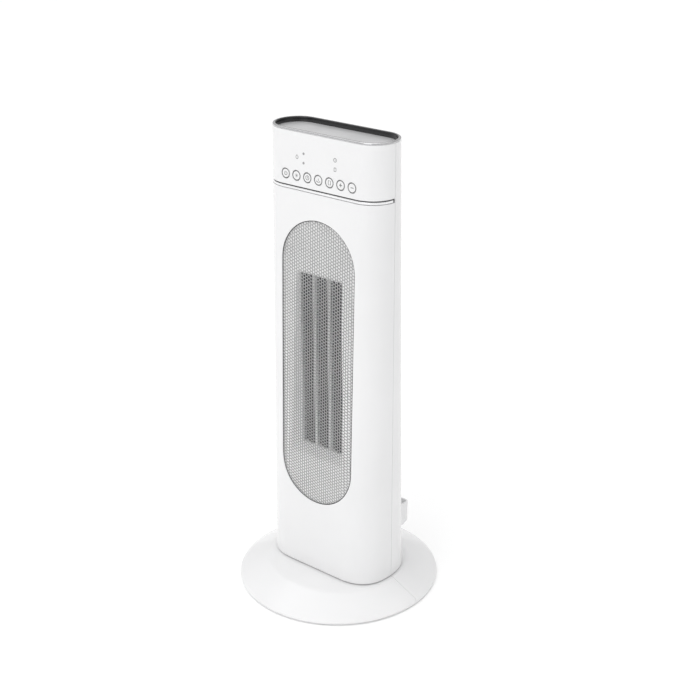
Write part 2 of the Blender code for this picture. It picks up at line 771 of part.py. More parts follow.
shelf_inset = WALL + BOSS_DEPTH + SHELF_BOSS_GAP
equipment_shelf = plan_slab("equipment_shelf", shelf_inset, SHELF_BOTTOM, SHELF_TOP, STEEL, tower)
shelf_cable_hole = cylinder(
    "shelf_cable_hole",
    HUB_BORE,
    SHELF_BOTTOM - CUT_OVERRUN,
    SHELF_TOP + CUT_OVERRUN,
    None,
    24,
    location=(SHELF_HOLE_X, 0, 0),
)
cut(equipment_shelf, shelf_cable_hole)


# ---------------------------------------------------------------- casing shells

front_shell = carried_round("front_shell", wall_profile(FOOT_Z, BAND_BOTTOM - GAP), -1, WHITE_GLOSS, tower)
grille_outline = stadium(GRILLE_RADIUS, GRILLE_BOTTOM, GRILLE_TOP)
grille_opening = extruded(
    "grille_opening", grille_outline, -OPENING_FAR, -OPENING_NEAR, "Y", None
)
cut(front_shell, grille_opening)

band_profile = [
    (BAND_INSET, BAND_BOTTOM),
    (BAND_INSET, BAND_TOP - GAP),
    (WALL, BAND_TOP - GAP),
    (WALL, BAND_BOTTOM),
]
carried_round("accent_band", band_profile, -1, CHROME, tower)

fascia_profile = wall_profile(BAND_TOP, CASING_TOP)
control_fascia = carried_round("control_fascia", fascia_profile, -1, WHITE_GLOSS, tower)
rear_shell = carried_round("rear_shell", wall_profile(FOOT_Z, CASING_TOP), 1, WHITE_GLOSS, tower)

intake_outline = round_rectangle(INTAKE_HALF_WIDTH, INTAKE_BOTTOM, INTAKE_TOP, INTAKE_CORNER)
intake_opening = extruded(
    "intake_opening", intake_outline, OPENING_NEAR, OPENING_FAR, "Y", None
)
cut(rear_shell, intake_opening)

trim_profile = [
    (0.0, CASING_TOP + GAP),
    (0.0, TOWER_TOP - TRIM_CHAMFER),
    (TRIM_CHAMFER, TOWER_TOP),
    (TRIM_WIDTH - TRIM_INNER_CHAMFER, TOWER_TOP),
    (TRIM_WIDTH, TOWER_TOP - TRIM_INNER_CHAMFER),
    (TRIM_WIDTH, TOWER_TOP - RECESS_DEPTH - TRIM_SKIRT),
    (WALL + GAP, TOWER_TOP - RECESS_DEPTH - TRIM_SKIRT),
    (WALL + GAP, CASING_TOP + GAP),
]
carried_round("top_trim_ring", trim_profile, 0, CHROME, tower)
panel_top = TOWER_TOP - RECESS_DEPTH
panel_bottom = panel_top - TOP_PANEL_THICKNESS
plan_slab("top_panel", TRIM_WIDTH + GAP, panel_bottom, panel_top, BRUSHED, tower)


# ---------------------------------------------------------------- keys and control board

key_z = TOWER_TOP - KEY_DROP
for index in range(KEY_COUNT):
    key_at = ((index - (KEY_COUNT - 1) / 2) * KEY_PITCH, -half_depth(key_z), key_z)
    key_hole = cylinder(
        f"key_hole_{index + 1}",
        KEY_RADIUS + KEY_GAP,
        -BLANK_MARGIN,
        BLANK_MARGIN / 2,
        None,
        KEY_STEPS,
        location=key_at,
    )
    cut(control_fascia, face_out(key_hole, -1))
    key_name = f"key_{index + 1}"
    key = cylinder(key_name, KEY_RADIUS, -KEY_LENGTH, 0.0, WHITE_GLOSS, KEY_STEPS, tower, key_at)
    face_out(key, -1)

board_front = -half_depth(key_z) + KEY_LENGTH + KEY_TRAVEL + BOARD_KEY_GAP
board_low = BAND_TOP + BOARD_FOOT_MARGIN
board_high = TOWER_TOP - RECESS_DEPTH - BOARD_TOP_MARGIN
block(
    "control_board",
    (-BOARD_HALF_WIDTH, board_front, board_low),
    (BOARD_HALF_WIDTH, board_front + BOARD_THICKNESS, board_high),
    BOARD,
    tower,
)


# ---------------------------------------------------------------- outlet grille and duct

grille_stop = GRILLE_INSET + GRILLE_THICKNESS
blank_low = GRILLE_BOTTOM - BLANK_MARGIN
blank_high = GRILLE_TOP + BLANK_MARGIN
grille_profile = wall_profile(blank_low, blank_high, GRILLE_INSET, grille_stop)
outlet_grille = carried_round("outlet_grille", grille_profile, -1, MESH_GREY, tower)
grille_plan = stadium(
    GRILLE_RADIUS - GRILLE_EDGE_GAP,
    GRILLE_BOTTOM + GRILLE_EDGE_GAP,
    GRILLE_TOP - GRILLE_EDGE_GAP,
)
grille_edge = extruded("grille_edge", grille_plan, -OPENING_FAR, -OPENING_NEAR, "Y", None)
trim(outlet_grille, grille_edge)

duct_skin = WALL + GAP
duct_profile = wall_profile(blank_low, blank_high, duct_skin, duct_skin + DUCT_WALL)
outlet_duct = carried_round("outlet_duct", duct_profile, -1, WHITE_SATIN, tower)
duct_plan = stadium(
    GRILLE_RADIUS + DUCT_FLANGE, GRILLE_BOTTOM - DUCT_FLANGE, GRILLE_TOP + DUCT_FLANGE
)
duct_edge = extruded("duct_edge", duct_plan, -OPENING_FAR, -OPENING_NEAR, "Y", None)
CORE_FRONT = -(half_depth(WINDOW_TOP) - WINDOW_DEPTH)
duct_mouth = -half_depth(WINDOW_BOTTOM) - CUT_OVERRUN
duct_outside = funnel("duct_outside", DUCT_WALL, duct_mouth, CORE_FRONT - GAP)
duct_limit = plan_slab("duct_limit", duct_skin, GRILLE_BOTTOM, GRILLE_TOP, None)
trim(duct_outside, duct_limit)
duct_inside = funnel("duct_inside", 0.0, duct_mouth, CORE_FRONT)
trim(outlet_duct, duct_edge)
cut(join(outlet_duct, duct_outside), duct_inside)


# ---------------------------------------------------------------- ceramic heating core

CORE_BACK = CORE_FRONT + CORE_DEPTH
frame_half = WINDOW_HALF_WIDTH + CORE_RAIL
core_frame = block(
    "core_frame",
    (-frame_half, CORE_FRONT, WINDOW_BOTTOM - CORE_RAIL),
    (frame_half, CORE_BACK, WINDOW_TOP + CORE_RAIL),
    BLACK,
    tower,
)
core_room = block(
    "core_room",
    (-WINDOW_HALF_WIDTH - GAP, CORE_FRONT - CUT_OVERRUN, WINDOW_BOTTOM - GAP),
    (WINDOW_HALF_WIDTH + GAP, CORE_BACK + CUT_OVERRUN, WINDOW_TOP + GAP),
    None,
)
cut(core_frame, core_room)

column_width = (2 * WINDOW_HALF_WIDTH - 2 * HEATER_BAR_WIDTH) / 3
column_pitch = column_width + HEATER_BAR_WIDTH
fin_count = round((WINDOW_TOP - WINDOW_BOTTOM) / FIN_PITCH)


def fin_outline(centre):
    """A folded strip that zigzags across its column while it climbs, in (x, z)."""
    across = column_width / 2 - GAP
    rise = (WINDOW_TOP - WINDOW_BOTTOM) / (2 * fin_count)
    right = []
    left = []
    for step in range(2 * fin_count + 1):
        height = WINDOW_BOTTOM + rise * step
        reach = across if step % 2 else FIN_FOLD_WIDTH - across
        right.append((centre + reach, height))
        left.append((centre + reach - FIN_FOLD_WIDTH, height))
    return right + left[::-1]


for index in range(3):
    centre = (index - 1) * column_pitch
    extruded(
        f"fin_stack_{index + 1}",
        fin_outline(centre),
        CORE_FRONT + FIN_INSET,
        CORE_BACK - FIN_INSET,
        "Y",
        ALUMINIUM,
        tower,
    )
for index in range(2):
    centre = (index - 0.5) * column_pitch
    bar_half = HEATER_BAR_WIDTH / 2 - GAP
    block(
        f"heater_bar_{index + 1}",
        (centre - bar_half, CORE_FRONT + BAR_INSET, WINDOW_BOTTOM),
        (centre + bar_half, CORE_BACK - BAR_INSET, WINDOW_TOP),
        CERAMIC,
        tower,
    )

cutout_at = (0, (CORE_FRONT + CORE_BACK) / 2, WINDOW_TOP + CORE_RAIL + GAP)
cylinder("thermal_cutout", CUTOUT_RADIUS, 0.0, CUTOUT_HEIGHT, BLACK, 24, tower, cutout_at)


# ---------------------------------------------------------------- blower: wheel, shaft, housing, motor

filter_back = duct_skin + GAP + FILTER_THICKNESS
blower_front = CORE_BACK + BLOWER_CORE_SPACE
blower_rear = half_depth(WINDOW_TOP + CORE_RAIL) - filter_back - BLOWER_FILTER_SPACE
WHEEL_RADIUS = (blower_rear - blower_front) / 2
WHEEL_Y = (blower_rear + blower_front) / 2
wheel_at = (0, WHEEL_Y, 0)
wheel_low = WINDOW_BOTTOM
wheel_high = WINDOW_TOP
housing_low = wheel_low - WHEEL_END_GAP - HOUSING_WALL
housing_high = wheel_high + WHEEL_END_GAP + HOUSING_WALL


def blade_outline(angle):
    """One forward-curved blade of the wheel, as a bent strip between two radii, in (x, y)."""
    points = []
    for share in (0.0, 0.5, 1.0):
        radius = WHEEL_RADIUS - BLADE_DEPTH + share * (BLADE_DEPTH - GAP)
        turn = angle + BLADE_SWEEP * math.sin(share * math.pi / 2)
        points.append((radius, turn))
    outside = [(r * math.cos(a), r * math.sin(a)) for r, a in points]
    thick = BLADE_THICKNESS / WHEEL_RADIUS
    inside = [(r * math.cos(a + thick), r * math.sin(a + thick)) for r, a in reversed(points)]
    return outside + inside


wheel_mesh = bmesh.new()
for index in range(BLADE_COUNT):
    outline = blade_outline(math.tau * (index + BLADE_OFFSET) / BLADE_COUNT)
    low = [wheel_mesh.verts.new((x, y, wheel_low + WHEEL_DISC / 2)) for x, y in outline]
    high = [wheel_mesh.verts.new((x, y, wheel_high - WHEEL_DISC / 2)) for x, y in outline]
    wheel_mesh.faces.new(low)
    wheel_mesh.faces.new(high)
    for step in range(len(outline)):
        beyond = (step + 1) % len(outline)
        wheel_mesh.faces.new((low[step], low[beyond], high[beyond], high[step]))
blades = add_object("wheel_blades", wheel_mesh, None, tower, wheel_at)

bore = SHAFT_RADIUS + GAP
wheel = ring(
    "blower_wheel",
    bore,
    WHEEL_RADIUS,
    wheel_low,
    wheel_low + WHEEL_DISC,
    BLACK,
    WHEEL_STEPS,
    tower,
    wheel_at,
)
top_disc = ring(
    "wheel_top_disc",
    bore,
    WHEEL_RADIUS,
    wheel_high - WHEEL_DISC,
    wheel_high,
    None,
    WHEEL_STEPS,
    tower,
    wheel_at,
)
join(wheel, blades, top_disc)
height = (wheel_low + wheel_high) / 2
stay = ring(
    "wheel_stay",
    WHEEL_RADIUS - BLADE_DEPTH - STAY_MARGIN,
    WHEEL_RADIUS,
    height - WHEEL_DISC / 2,
    height + WHEEL_DISC / 2,
    None,
    WHEEL_STEPS,
    tower,
    wheel_at,
)
join(wheel, stay)

motor_high = housing_low - MOTOR_DROP
motor_low = motor_high - BLOWER_MOTOR_HEIGHT
shaft_top = housing_high + SHAFT_HEAD
shaft_low = motor_low + SHAFT_STAND
cylinder("blower_shaft", SHAFT_RADIUS, shaft_low, shaft_top, STEEL, 20, tower, wheel_at)

motor_face = motor_high - GAP
motor = cylinder(
    "blower_motor", BLOWER_MOTOR_RADIUS, motor_low, motor_face, STEEL, 32, tower, wheel_at
)
motor_bore = cylinder(
    "motor_bore",
    SHAFT_RADIUS + MOTOR_BORE_GAP,
    shaft_low - 2 * CUT_OVERRUN,
    motor_high + CUT_OVERRUN,
    None,
    20,
    location=wheel_at,
)
cut(motor, motor_bore)
bracket_half = WINDOW_HALF_WIDTH + CORE_RAIL
bracket = block(
    "motor_bracket",
    (-bracket_half, -BLOWER_MOTOR_RADIUS, motor_high),
    (bracket_half, BLOWER_MOTOR_RADIUS, motor_high + BRACKET_THICKNESS),
    STEEL,
    tower,
    wheel_at,
)
bracket_bore = cylinder(
    "bracket_bore",
    HOUSING_BORE,
    motor_high - CUT_OVERRUN,
    motor_high + BRACKET_THICKNESS + CUT_OVERRUN,
    None,
    20,
    location=wheel_at,
)
cut(bracket, bracket_bore)


def wall_strip(centres, thickness):
    """Closed outline of a thin wall that follows a line of points in plan."""
    sides = ([], [])
    for index, point in enumerate(centres):
        before = Vector(centres[max(index - 1, 0)])
        after = Vector(centres[min(index + 1, len(centres) - 1)])
        along = (after - before).normalized()
        across = Vector((-along.y, along.x)) * thickness / 2
        sides[0].append(tuple(Vector(point) + across))
        sides[1].append(tuple(Vector(point) - across))
    return sides[0] + sides[1][::-1]


outlet_half = WINDOW_HALF_WIDTH + CORE_RAIL / 2
housing_front = CORE_BACK + GAP
scroll = []
for step in range(11):
    share = step / 10
    angle = math.radians(62 - 87 * share)
    radius = WHEEL_RADIUS + SCROLL_START_GAP + SCROLL_GROWTH * share
    scroll.append((radius * math.cos(angle), WHEEL_Y + radius * math.sin(angle)))
scroll.append((outlet_half, housing_front + HOUSING_WALL))
tongue = [(-outlet_half, housing_front + HOUSING_WALL)]
for step in range(6):
    angle = math.radians(222 - 12 * step)
    radius = WHEEL_RADIUS + TONGUE_GAP
    tongue.append((radius * math.cos(angle), WHEEL_Y + radius * math.sin(angle)))
tongue.append((-WHEEL_RADIUS - TONGUE_END_X, WHEEL_Y + TONGUE_END_Y))

housing = block(
    "blower_housing",
    (-outlet_half - HOUSING_WALL, housing_front, housing_low),
    (outlet_half + HOUSING_WALL, WHEEL_Y + HOUSING_REACH, housing_low + HOUSING_WALL),
    BLACK,
    tower,
)
housing_lid = block(
    "housing_lid",
    (-outlet_half - HOUSING_WALL, housing_front, housing_high - HOUSING_WALL),
    (outlet_half + HOUSING_WALL, WHEEL_Y + HOUSING_REACH, housing_high),
    None,
)
walls_low = housing_low + HOUSING_WALL / 2
walls_high = housing_high - HOUSING_WALL / 2
scroll_outline = wall_strip(scroll, HOUSING_WALL)
scroll_wall = extruded("scroll_wall", scroll_outline, walls_low, walls_high, "Z", None)
tongue_outline = wall_strip(tongue, HOUSING_WALL)
tongue_wall = extruded("tongue_wall", tongue_outline, walls_low, walls_high, "Z", None)
housing_bore = cylinder(
    "housing_bore",
    HOUSING_BORE,
    housing_low - CUT_OVERRUN,
    housing_high + CUT_OVERRUN,
    None,
    20,
    location=wheel_at,
)
cut(join(housing, housing_lid, scroll_wall, tongue_wall), housing_bore)
ring(
    "upper_bearing",
    SHAFT_RADIUS + BEARING_BORE_GAP,
    BEARING_RADIUS,
    housing_high - BEARING_SEAT,
    housing_high + BEARING_HEAD,
    ACETAL,
    24,
    tower,
    wheel_at,
)

power_board = block(
    "power_board",
    (-POWER_BOARD_HALF_WIDTH, POWER_BOARD_Y, SHELF_TOP + GAP),
    (POWER_BOARD_HALF_WIDTH, POWER_BOARD_Y + BOARD_THICKNESS, SHELF_TOP + POWER_BOARD_HEIGHT),
    BOARD,
    tower,
)
for index, (x, half_width, height) in enumerate(POWER_PARTS):
    part = block(
        f"board_part_{index + 1}",
        (x - half_width, POWER_BOARD_Y + BOARD_THICKNESS / 2, SHELF_TOP + POWER_PART_LIFT),
        (x + half_width, POWER_PART_FRONT, SHELF_TOP + POWER_PART_LIFT + height),
        None,
    )
    join(power_board, part)


# ---------------------------------------------------------------- rear intake grille and filter

intake_low = INTAKE_BOTTOM - BLANK_MARGIN
intake_high = INTAKE_TOP + BLANK_MARGIN
intake_profile = wall_profile(intake_low, intake_high, 0.0, WALL)
intake_grille = carried_round("intake_grille", intake_profile, 1, WHITE_GLOSS, tower)
intake_plan = round_rectangle(
    INTAKE_HALF_WIDTH - INTAKE_EDGE_GAP,
    INTAKE_BOTTOM + INTAKE_EDGE_GAP,
    INTAKE_TOP - INTAKE_EDGE_GAP,
    INTAKE_CORNER - INTAKE_EDGE_GAP,
)
intake_edge = extruded("intake_edge", intake_plan, OPENING_NEAR, OPENING_FAR, "Y", None)
trim(intake_grille, intake_edge)
slot_mesh = bmesh.new()
slot_rows = int((INTAKE_TOP - INTAKE_BOTTOM - INTAKE_SLOT_BORDER) / INTAKE_SLOT_PITCH)
slot_first = (INTAKE_TOP + INTAKE_BOTTOM - (slot_rows - 1) * INTAKE_SLOT_PITCH) / 2
slot_half_length = (INTAKE_HALF_WIDTH - INTAKE_BORDER - INTAKE_RIB_HALF) / 2
for row in range(slot_rows):
    for side in (-1, 1):
        slot_x = side * (slot_half_length + INTAKE_RIB_HALF)
        centre = Vector((slot_x, OPENING_FAR / 2, slot_first + row * INTAKE_SLOT_PITCH))
        size = Matrix.Diagonal((2 * slot_half_length, OPENING_FAR, INTAKE_SLOT_HEIGHT, 1))
        bmesh.ops.create_cube(slot_mesh, size=1.0, matrix=Matrix.Translation(centre) @ size)
intake_slots = add_object("intake_slots", slot_mesh, None)
cut(intake_grille, intake_slots)

filter_front = filter_back - FILTER_THICKNESS
filter_profile = wall_profile(intake_low, intake_high, filter_front, filter_back)
dust_filter = carried_round("dust_filter", filter_profile, 1, FILTER, tower)
filter_plan = round_rectangle(
    INTAKE_HALF_WIDTH - FILTER_EDGE_GAP,
    INTAKE_BOTTOM + FILTER_EDGE_GAP,
    INTAKE_TOP - FILTER_EDGE_GAP,
    INTAKE_CORNER - FILTER_EDGE_GAP,
)
filter_edge = extruded("filter_edge", filter_plan, OPENING_NEAR, OPENING_FAR, "Y", None)
trim(dust_filter, filter_edge)


# ---------------------------------------------------------------- mains switch on the rear

switch_at = (SWITCH_X, half_depth(SWITCH_Z), SWITCH_Z)
body_half = (SWITCH_HALF_WIDTH - SWITCH_BEZEL, SWITCH_HALF_HEIGHT - SWITCH_BEZEL)
switch_hole = block(
    "switch_hole",
    (-body_half[0] - GAP, -body_half[1] - GAP, -BLANK_MARGIN),
    (body_half[0] + GAP, body_half[1] + GAP, BLANK_MARGIN),
    None,
    location=switch_at,
)
cut(rear_shell, face_out(switch_hole, 1))
switch_frame = block(
    "switch_frame",
    (-SWITCH_HALF_WIDTH, -SWITCH_HALF_HEIGHT, GAP),
    (SWITCH_HALF_WIDTH, SWITCH_HALF_HEIGHT, SWITCH_PROUD),
    BLACK,
    tower,
    switch_at,
)
switch_body = block(
    "switch_body",
    (-body_half[0], -body_half[1], -SWITCH_DEPTH),
    (body_half[0], body_half[1], SWITCH_BEZEL),
    None,
    location=switch_at,
)
rocker_half = (body_half[0] - ROCKER_SIDE_MARGIN, body_half[1] - ROCKER_END_MARGIN)
switch_well = block(
    "switch_well",
    (-rocker_half[0] - ROCKER_SIDE_GAP, -rocker_half[1] - ROCKER_END_GAP, -SWITCH_WELL_DEPTH),
    (rocker_half[0] + ROCKER_SIDE_GAP, rocker_half[1] + ROCKER_END_GAP, BLANK_MARGIN),
    None,
    location=switch_at,
)
face_out(switch_body, 1)
face_out(switch_well, 1)
cut(join(face_out(switch_frame, 1), switch_body), switch_well)

rocker_mesh = bmesh.new()
rocker_side = [
    (-rocker_half[1], ROCKER_TIP_Z),
    (0.0, ROCKER_DIP_Z),
    (rocker_half[1], ROCKER_TIP_Z),
    (rocker_half[1] * ROCKER_HEEL_SHARE, ROCKER_HEEL_Z),
    (0.0, ROCKER_KEEL_Z),
    (-rocker_half[1] * ROCKER_HEEL_SHARE, ROCKER_HEEL_Z),
]
rocker_rows = []
for x in (-rocker_half[0], rocker_half[0]):
    rocker_rows.append([rocker_mesh.verts.new((x, y, z)) for y, z in rocker_side])
    rocker_mesh.faces.new(rocker_rows[-1])
for step in range(len(rocker_side)):
    beyond = (step + 1) % len(rocker_side)
    low, high = rocker_rows
    rocker_mesh.faces.new((low[step], low[beyond], high[beyond], high[step]))
rocker = add_object("power_rocker", rocker_mesh, BLACK, tower, switch_at)
face_out(rocker, 1)
rocker.rotation_euler.x += math.radians(ROCKER_TILT_DEGREES)


# ---------------------------------------------------------------- remote-control pocket on the rear

pocket_left = POCKET_RIGHT - POCKET_WIDTH
pocket_top = POCKET_BOTTOM + POCKET_HEIGHT
remote_pocket = block(
    "remote_pocket",
    (pocket_left, POCKET_BACK / 2, POCKET_BOTTOM),
    (POCKET_RIGHT, POCKET_BACK, pocket_top),
    WHITE_GLOSS,
    tower,
)
room_low = POCKET_BOTTOM - BLANK_MARGIN
room_high = pocket_top + BLANK_MARGIN
casing_room = plan_slab("casing_room", -GAP, room_low, room_high, None)
pocket_inner = half_depth(POCKET_BOTTOM) + GAP + POCKET_WALL
pocket_room = block(
    "pocket_room",
    (pocket_left + POCKET_WALL, pocket_inner, POCKET_BOTTOM + POCKET_WALL),
    (POCKET_RIGHT - POCKET_WALL, POCKET_BACK - POCKET_WALL, room_high),
    None,
)
cut(remote_pocket, casing_room, pocket_room)


# ---------------------------------------------------------------- cord gland, a flanged bush in the rear wall

gland_at = (GLAND_X, half_depth(GLAND_Z), GLAND_Z)
gland_hole = cylinder(
    "gland_hole", GLAND_RADIUS + GAP, -BLANK_MARGIN, BLANK_MARGIN, None, 24, location=gland_at
)
cut(rear_shell, face_out(gland_hole, 1))
gland_profile = [
    (GLAND_RADIUS + GLAND_FLANGE, GLAND_PROUD),
    (GLAND_RADIUS + GLAND_FLANGE, GAP),
    (GLAND_RADIUS, GAP),
    (GLAND_RADIUS, -GLAND_DEPTH),
    (GLAND_BORE, -GLAND_DEPTH),
    (GLAND_BORE, GLAND_PROUD),
]
face_out(turned("cord_gland", gland_profile, BLACK, 24, tower, gland_at), 1)


# ---------------------------------------------------------------- screws that close the casing

screw_rows = (
    (LOWER_SCREW_X, FOOT_Z + LOWER_SCREW_RISE),
    (UPPER_SCREW_X, BAND_BOTTOM - UPPER_SCREW_DROP),
)
recess_floor = SCREW_SEAT - BOSS_DEPTH
seat = recess_floor + GAP
for row, (across, z) in enumerate(screw_rows):
    for column, side in enumerate((-1, 1)):
        number = 2 * row + column + 1
        screw_at = (side * across, half_depth(z), z)
        boss = cylinder(
            f"casing_boss_{number}",
            BOSS_RADIUS,
            -BOSS_DEPTH,
            -WALL / 2,
            None,
            20,
            location=screw_at,
        )
        recess = cylinder(
            f"screw_recess_{number}",
            SCREW_HOLE_RADIUS,
            recess_floor,
            2 * CUT_OVERRUN,
            None,
            20,
            location=screw_at,
        )
        shank_hole = cylinder(
            f"shank_hole_{number}",
            SCREW_SHANK_HOLE,
            -BOSS_DEPTH - CUT_OVERRUN,
            0.0,
            None,
            12,
            location=screw_at,
        )
        cut(join(rear_shell, face_out(boss, 1)), face_out(recess, 1), face_out(shank_hole, 1))
        screw = [
            (0.0, seat + SCREW_HEAD),
            (SCREW_HEAD_RADIUS, seat + SCREW_HEAD),
            (SCREW_HEAD_RADIUS, seat),
            (SCREW_SHANK_RADIUS, seat),
            (SCREW_SHANK_RADIUS, seat - SCREW_LENGTH),
            (0.0, seat - SCREW_LENGTH),
        ]
        fastener = turned(f"casing_screw_{number}", screw, STEEL, 16, tower, screw_at)
        face_out(fastener, 1)
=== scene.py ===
"""Looks of the ceramic tower heater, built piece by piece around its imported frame."""

import math

import bmesh
import bpy
import numpy as np
from mathutils import Matrix, Vector


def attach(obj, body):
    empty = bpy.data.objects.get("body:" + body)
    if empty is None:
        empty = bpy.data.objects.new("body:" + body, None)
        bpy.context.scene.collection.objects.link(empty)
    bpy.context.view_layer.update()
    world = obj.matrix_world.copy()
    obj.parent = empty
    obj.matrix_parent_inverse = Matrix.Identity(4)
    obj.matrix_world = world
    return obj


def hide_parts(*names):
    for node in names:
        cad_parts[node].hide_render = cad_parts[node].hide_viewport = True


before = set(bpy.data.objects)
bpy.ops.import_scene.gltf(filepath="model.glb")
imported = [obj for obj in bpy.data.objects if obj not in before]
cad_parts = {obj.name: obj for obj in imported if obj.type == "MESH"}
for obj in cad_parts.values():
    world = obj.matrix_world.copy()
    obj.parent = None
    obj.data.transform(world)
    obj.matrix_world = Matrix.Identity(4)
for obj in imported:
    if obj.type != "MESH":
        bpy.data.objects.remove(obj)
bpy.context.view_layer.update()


# ================================================================ studio: camera, floor, lights
# The heater stands on a pale seamless floor. Two wide scrims light it from above and from the
# front left, and one soft box in front fills the face.

camera_at = Vector((0.98722, -1.19275, 1.00492))
camera_azimuth = math.radians(39.0)
camera_pitch = math.radians(23.536)
camera_roll = math.radians(-0.174)
ahead = Vector(
    (
        -math.sin(camera_azimuth) * math.cos(camera_pitch),
        math.cos(camera_azimuth) * math.cos(camera_pitch),
        -math.sin(camera_pitch),
    )
)
level_right = Vector((math.cos(camera_azimuth), math.sin(camera_azimuth), 0.0))
level_up = level_right.cross(ahead)
right = math.cos(camera_roll) * level_right + math.sin(camera_roll) * level_up
up = math.cos(camera_roll) * level_up - math.sin(camera_roll) * level_right
camera = bpy.data.objects.new("studio_camera", bpy.data.cameras.new("studio_camera"))
bpy.context.scene.collection.objects.link(camera)
camera.data.lens = 67.46
camera.data.sensor_width = 36.0
camera.matrix_world = Matrix(
    (
        (right.x, up.x, -ahead.x, camera_at.x),
        (right.y, up.y, -ahead.y, camera_at.y),
        (right.z, up.z, -ahead.z, camera_at.z),
        (0.0, 0.0, 0.0, 1.0),
    )
)
bpy.context.scene.camera = camera
bpy.context.scene.view_settings.view_transform = "Standard"

world = bpy.data.worlds.new("studio_air")
world.use_nodes = True
world.node_tree.nodes["Background"].inputs["Color"].default_value = (1.0, 1.0, 1.0, 1.0)
world.node_tree.nodes["Background"].inputs["Strength"].default_value = 0.586
bpy.context.scene.world = world


def soft_box(name, at, look_at, width, height, power):
    """A rectangular light at one point, turned to look at another."""
    light = bpy.data.lights.new(name, "AREA")
    light.shape = "RECTANGLE"
    light.size = width
    light.size_y = height
    light.energy = power
    box = bpy.data.objects.new(name, light)
    box.location = at
    box.rotation_mode = "QUATERNION"
    box.rotation_quaternion = (Vector(look_at) - Vector(at)).to_track_quat("-Z", "Y")
    bpy.context.scene.collection.objects.link(box)


def broad_light(name, toward, strength, spread):
    """Soft light from the whole sky around one direction, spread over that many degrees."""
    light = bpy.data.lights.new(name, "SUN")
    light.angle = math.radians(spread)
    light.energy = strength
    sky = bpy.data.objects.new(name, light)
    sky.rotation_mode = "QUATERNION"
    sky.rotation_quaternion = (-Vector(toward)).to_track_quat("-Z", "Y")
    bpy.context.scene.collection.objects.link(sky)


broad_light("overhead_scrim", (0.0, 0.0, 1.0), 0.91, 80.0)
broad_light("front_left_scrim", (-0.45, -0.35, 1.0), 0.52, 80.0)
soft_box("front_soft_box", (0.5, -3.2, 1.9), (0.0, 0.0, 0.3), 2.2, 2.2, 18.9)


def new_material(name):
    """A new material, with its nodes, its links, its shader and its Object coordinates."""
    material = bpy.data.materials.new(name)
    material.use_nodes = True
    nodes, links = material.node_tree.nodes, material.node_tree.links
    place = nodes.new("ShaderNodeTexCoord").outputs["Object"]
    return material, nodes, links, nodes["Principled BSDF"], place


def noise(nodes, links, place, scale, detail=2.0):
    """The strength of a noise texture laid over the given coordinates."""
    texture = nodes.new("ShaderNodeTexNoise")
    texture.inputs["Scale"].default_value = scale
    texture.inputs["Detail"].default_value = detail
    links.new(place, texture.inputs["Vector"])
    return texture.outputs["Fac"]


def toned(nodes, links, pattern, shader, colour, dimmed, start=0.0, stop=1.0):
    """Colour a shader by a pattern, from the colour times dimmed at start to the colour at stop."""
    ramp = nodes.new("ShaderNodeValToRGB")
    ramp.color_ramp.elements[0].position = start
    ramp.color_ramp.elements[0].color = (*[c * dimmed for c in colour], 1.0)
    ramp.color_ramp.elements[1].position = stop
    ramp.color_ramp.elements[1].color = (*colour, 1.0)
    links.new(pattern, ramp.inputs["Fac"])
    links.new(ramp.outputs["Color"], shader.inputs["Base Color"])


def speckled(name, colour, tone, size):
    """A dry surface whose colour wanders by tone over patches of about that size, in metres."""
    material, nodes, links, shader, place = new_material(name)
    toned(nodes, links, noise(nodes, links, place, 1.0 / size), shader, colour, 1.0 - tone)
    shader.inputs["Roughness"].default_value = 0.7
    return material


def lit_up(material, strength):
    """Let a material give off a little plain white light of its own."""
    shader = material.node_tree.nodes["Principled BSDF"]
    shader.inputs["Emission Color"].default_value = (1.0, 1.0, 1.0, 1.0)
    shader.inputs["Emission Strength"].default_value = strength


floor_mesh = bpy.data.meshes.new("studio_floor")
floor_reach = 14.0
floor_mesh.from_pydata(
    [
        (-floor_reach, -floor_reach, 0.0),
        (floor_reach, -floor_reach, 0.0),
        (floor_reach, floor_reach, 0.0),
        (-floor_reach, floor_reach, 0.0),
    ],
    [],
    [(0, 1, 2, 3)],
)
seamless_paper = speckled("seamless_paper", (0.93, 0.93, 0.93), 0.01, 0.4)
lit_up(seamless_paper, 0.10)
floor_mesh.materials.append(seamless_paper)
studio_floor = bpy.data.objects.new("studio_floor", floor_mesh)
bpy.context.scene.collection.objects.link(studio_floor)


# ================================================================ base: two moulded halves
# The round foot is a shallow dish of glossy white ABS, moulded as a front and a rear half that
# meet on a line across the swivel axis. Each half is one section carried half a turn.

joint_gap = 0.0003
wall = 0.0025
plateau_z = 0.0250
plateau_radius = 0.0940
shoulder_radius = 0.1295
shoulder_z = 0.0075
base_radius = 0.1353
underside_z = 0.0015
hub_hole_radius = 0.0166
flange_inner_radius = 0.1053
merge_distance = 1e-6
sharp_degrees = 35.0


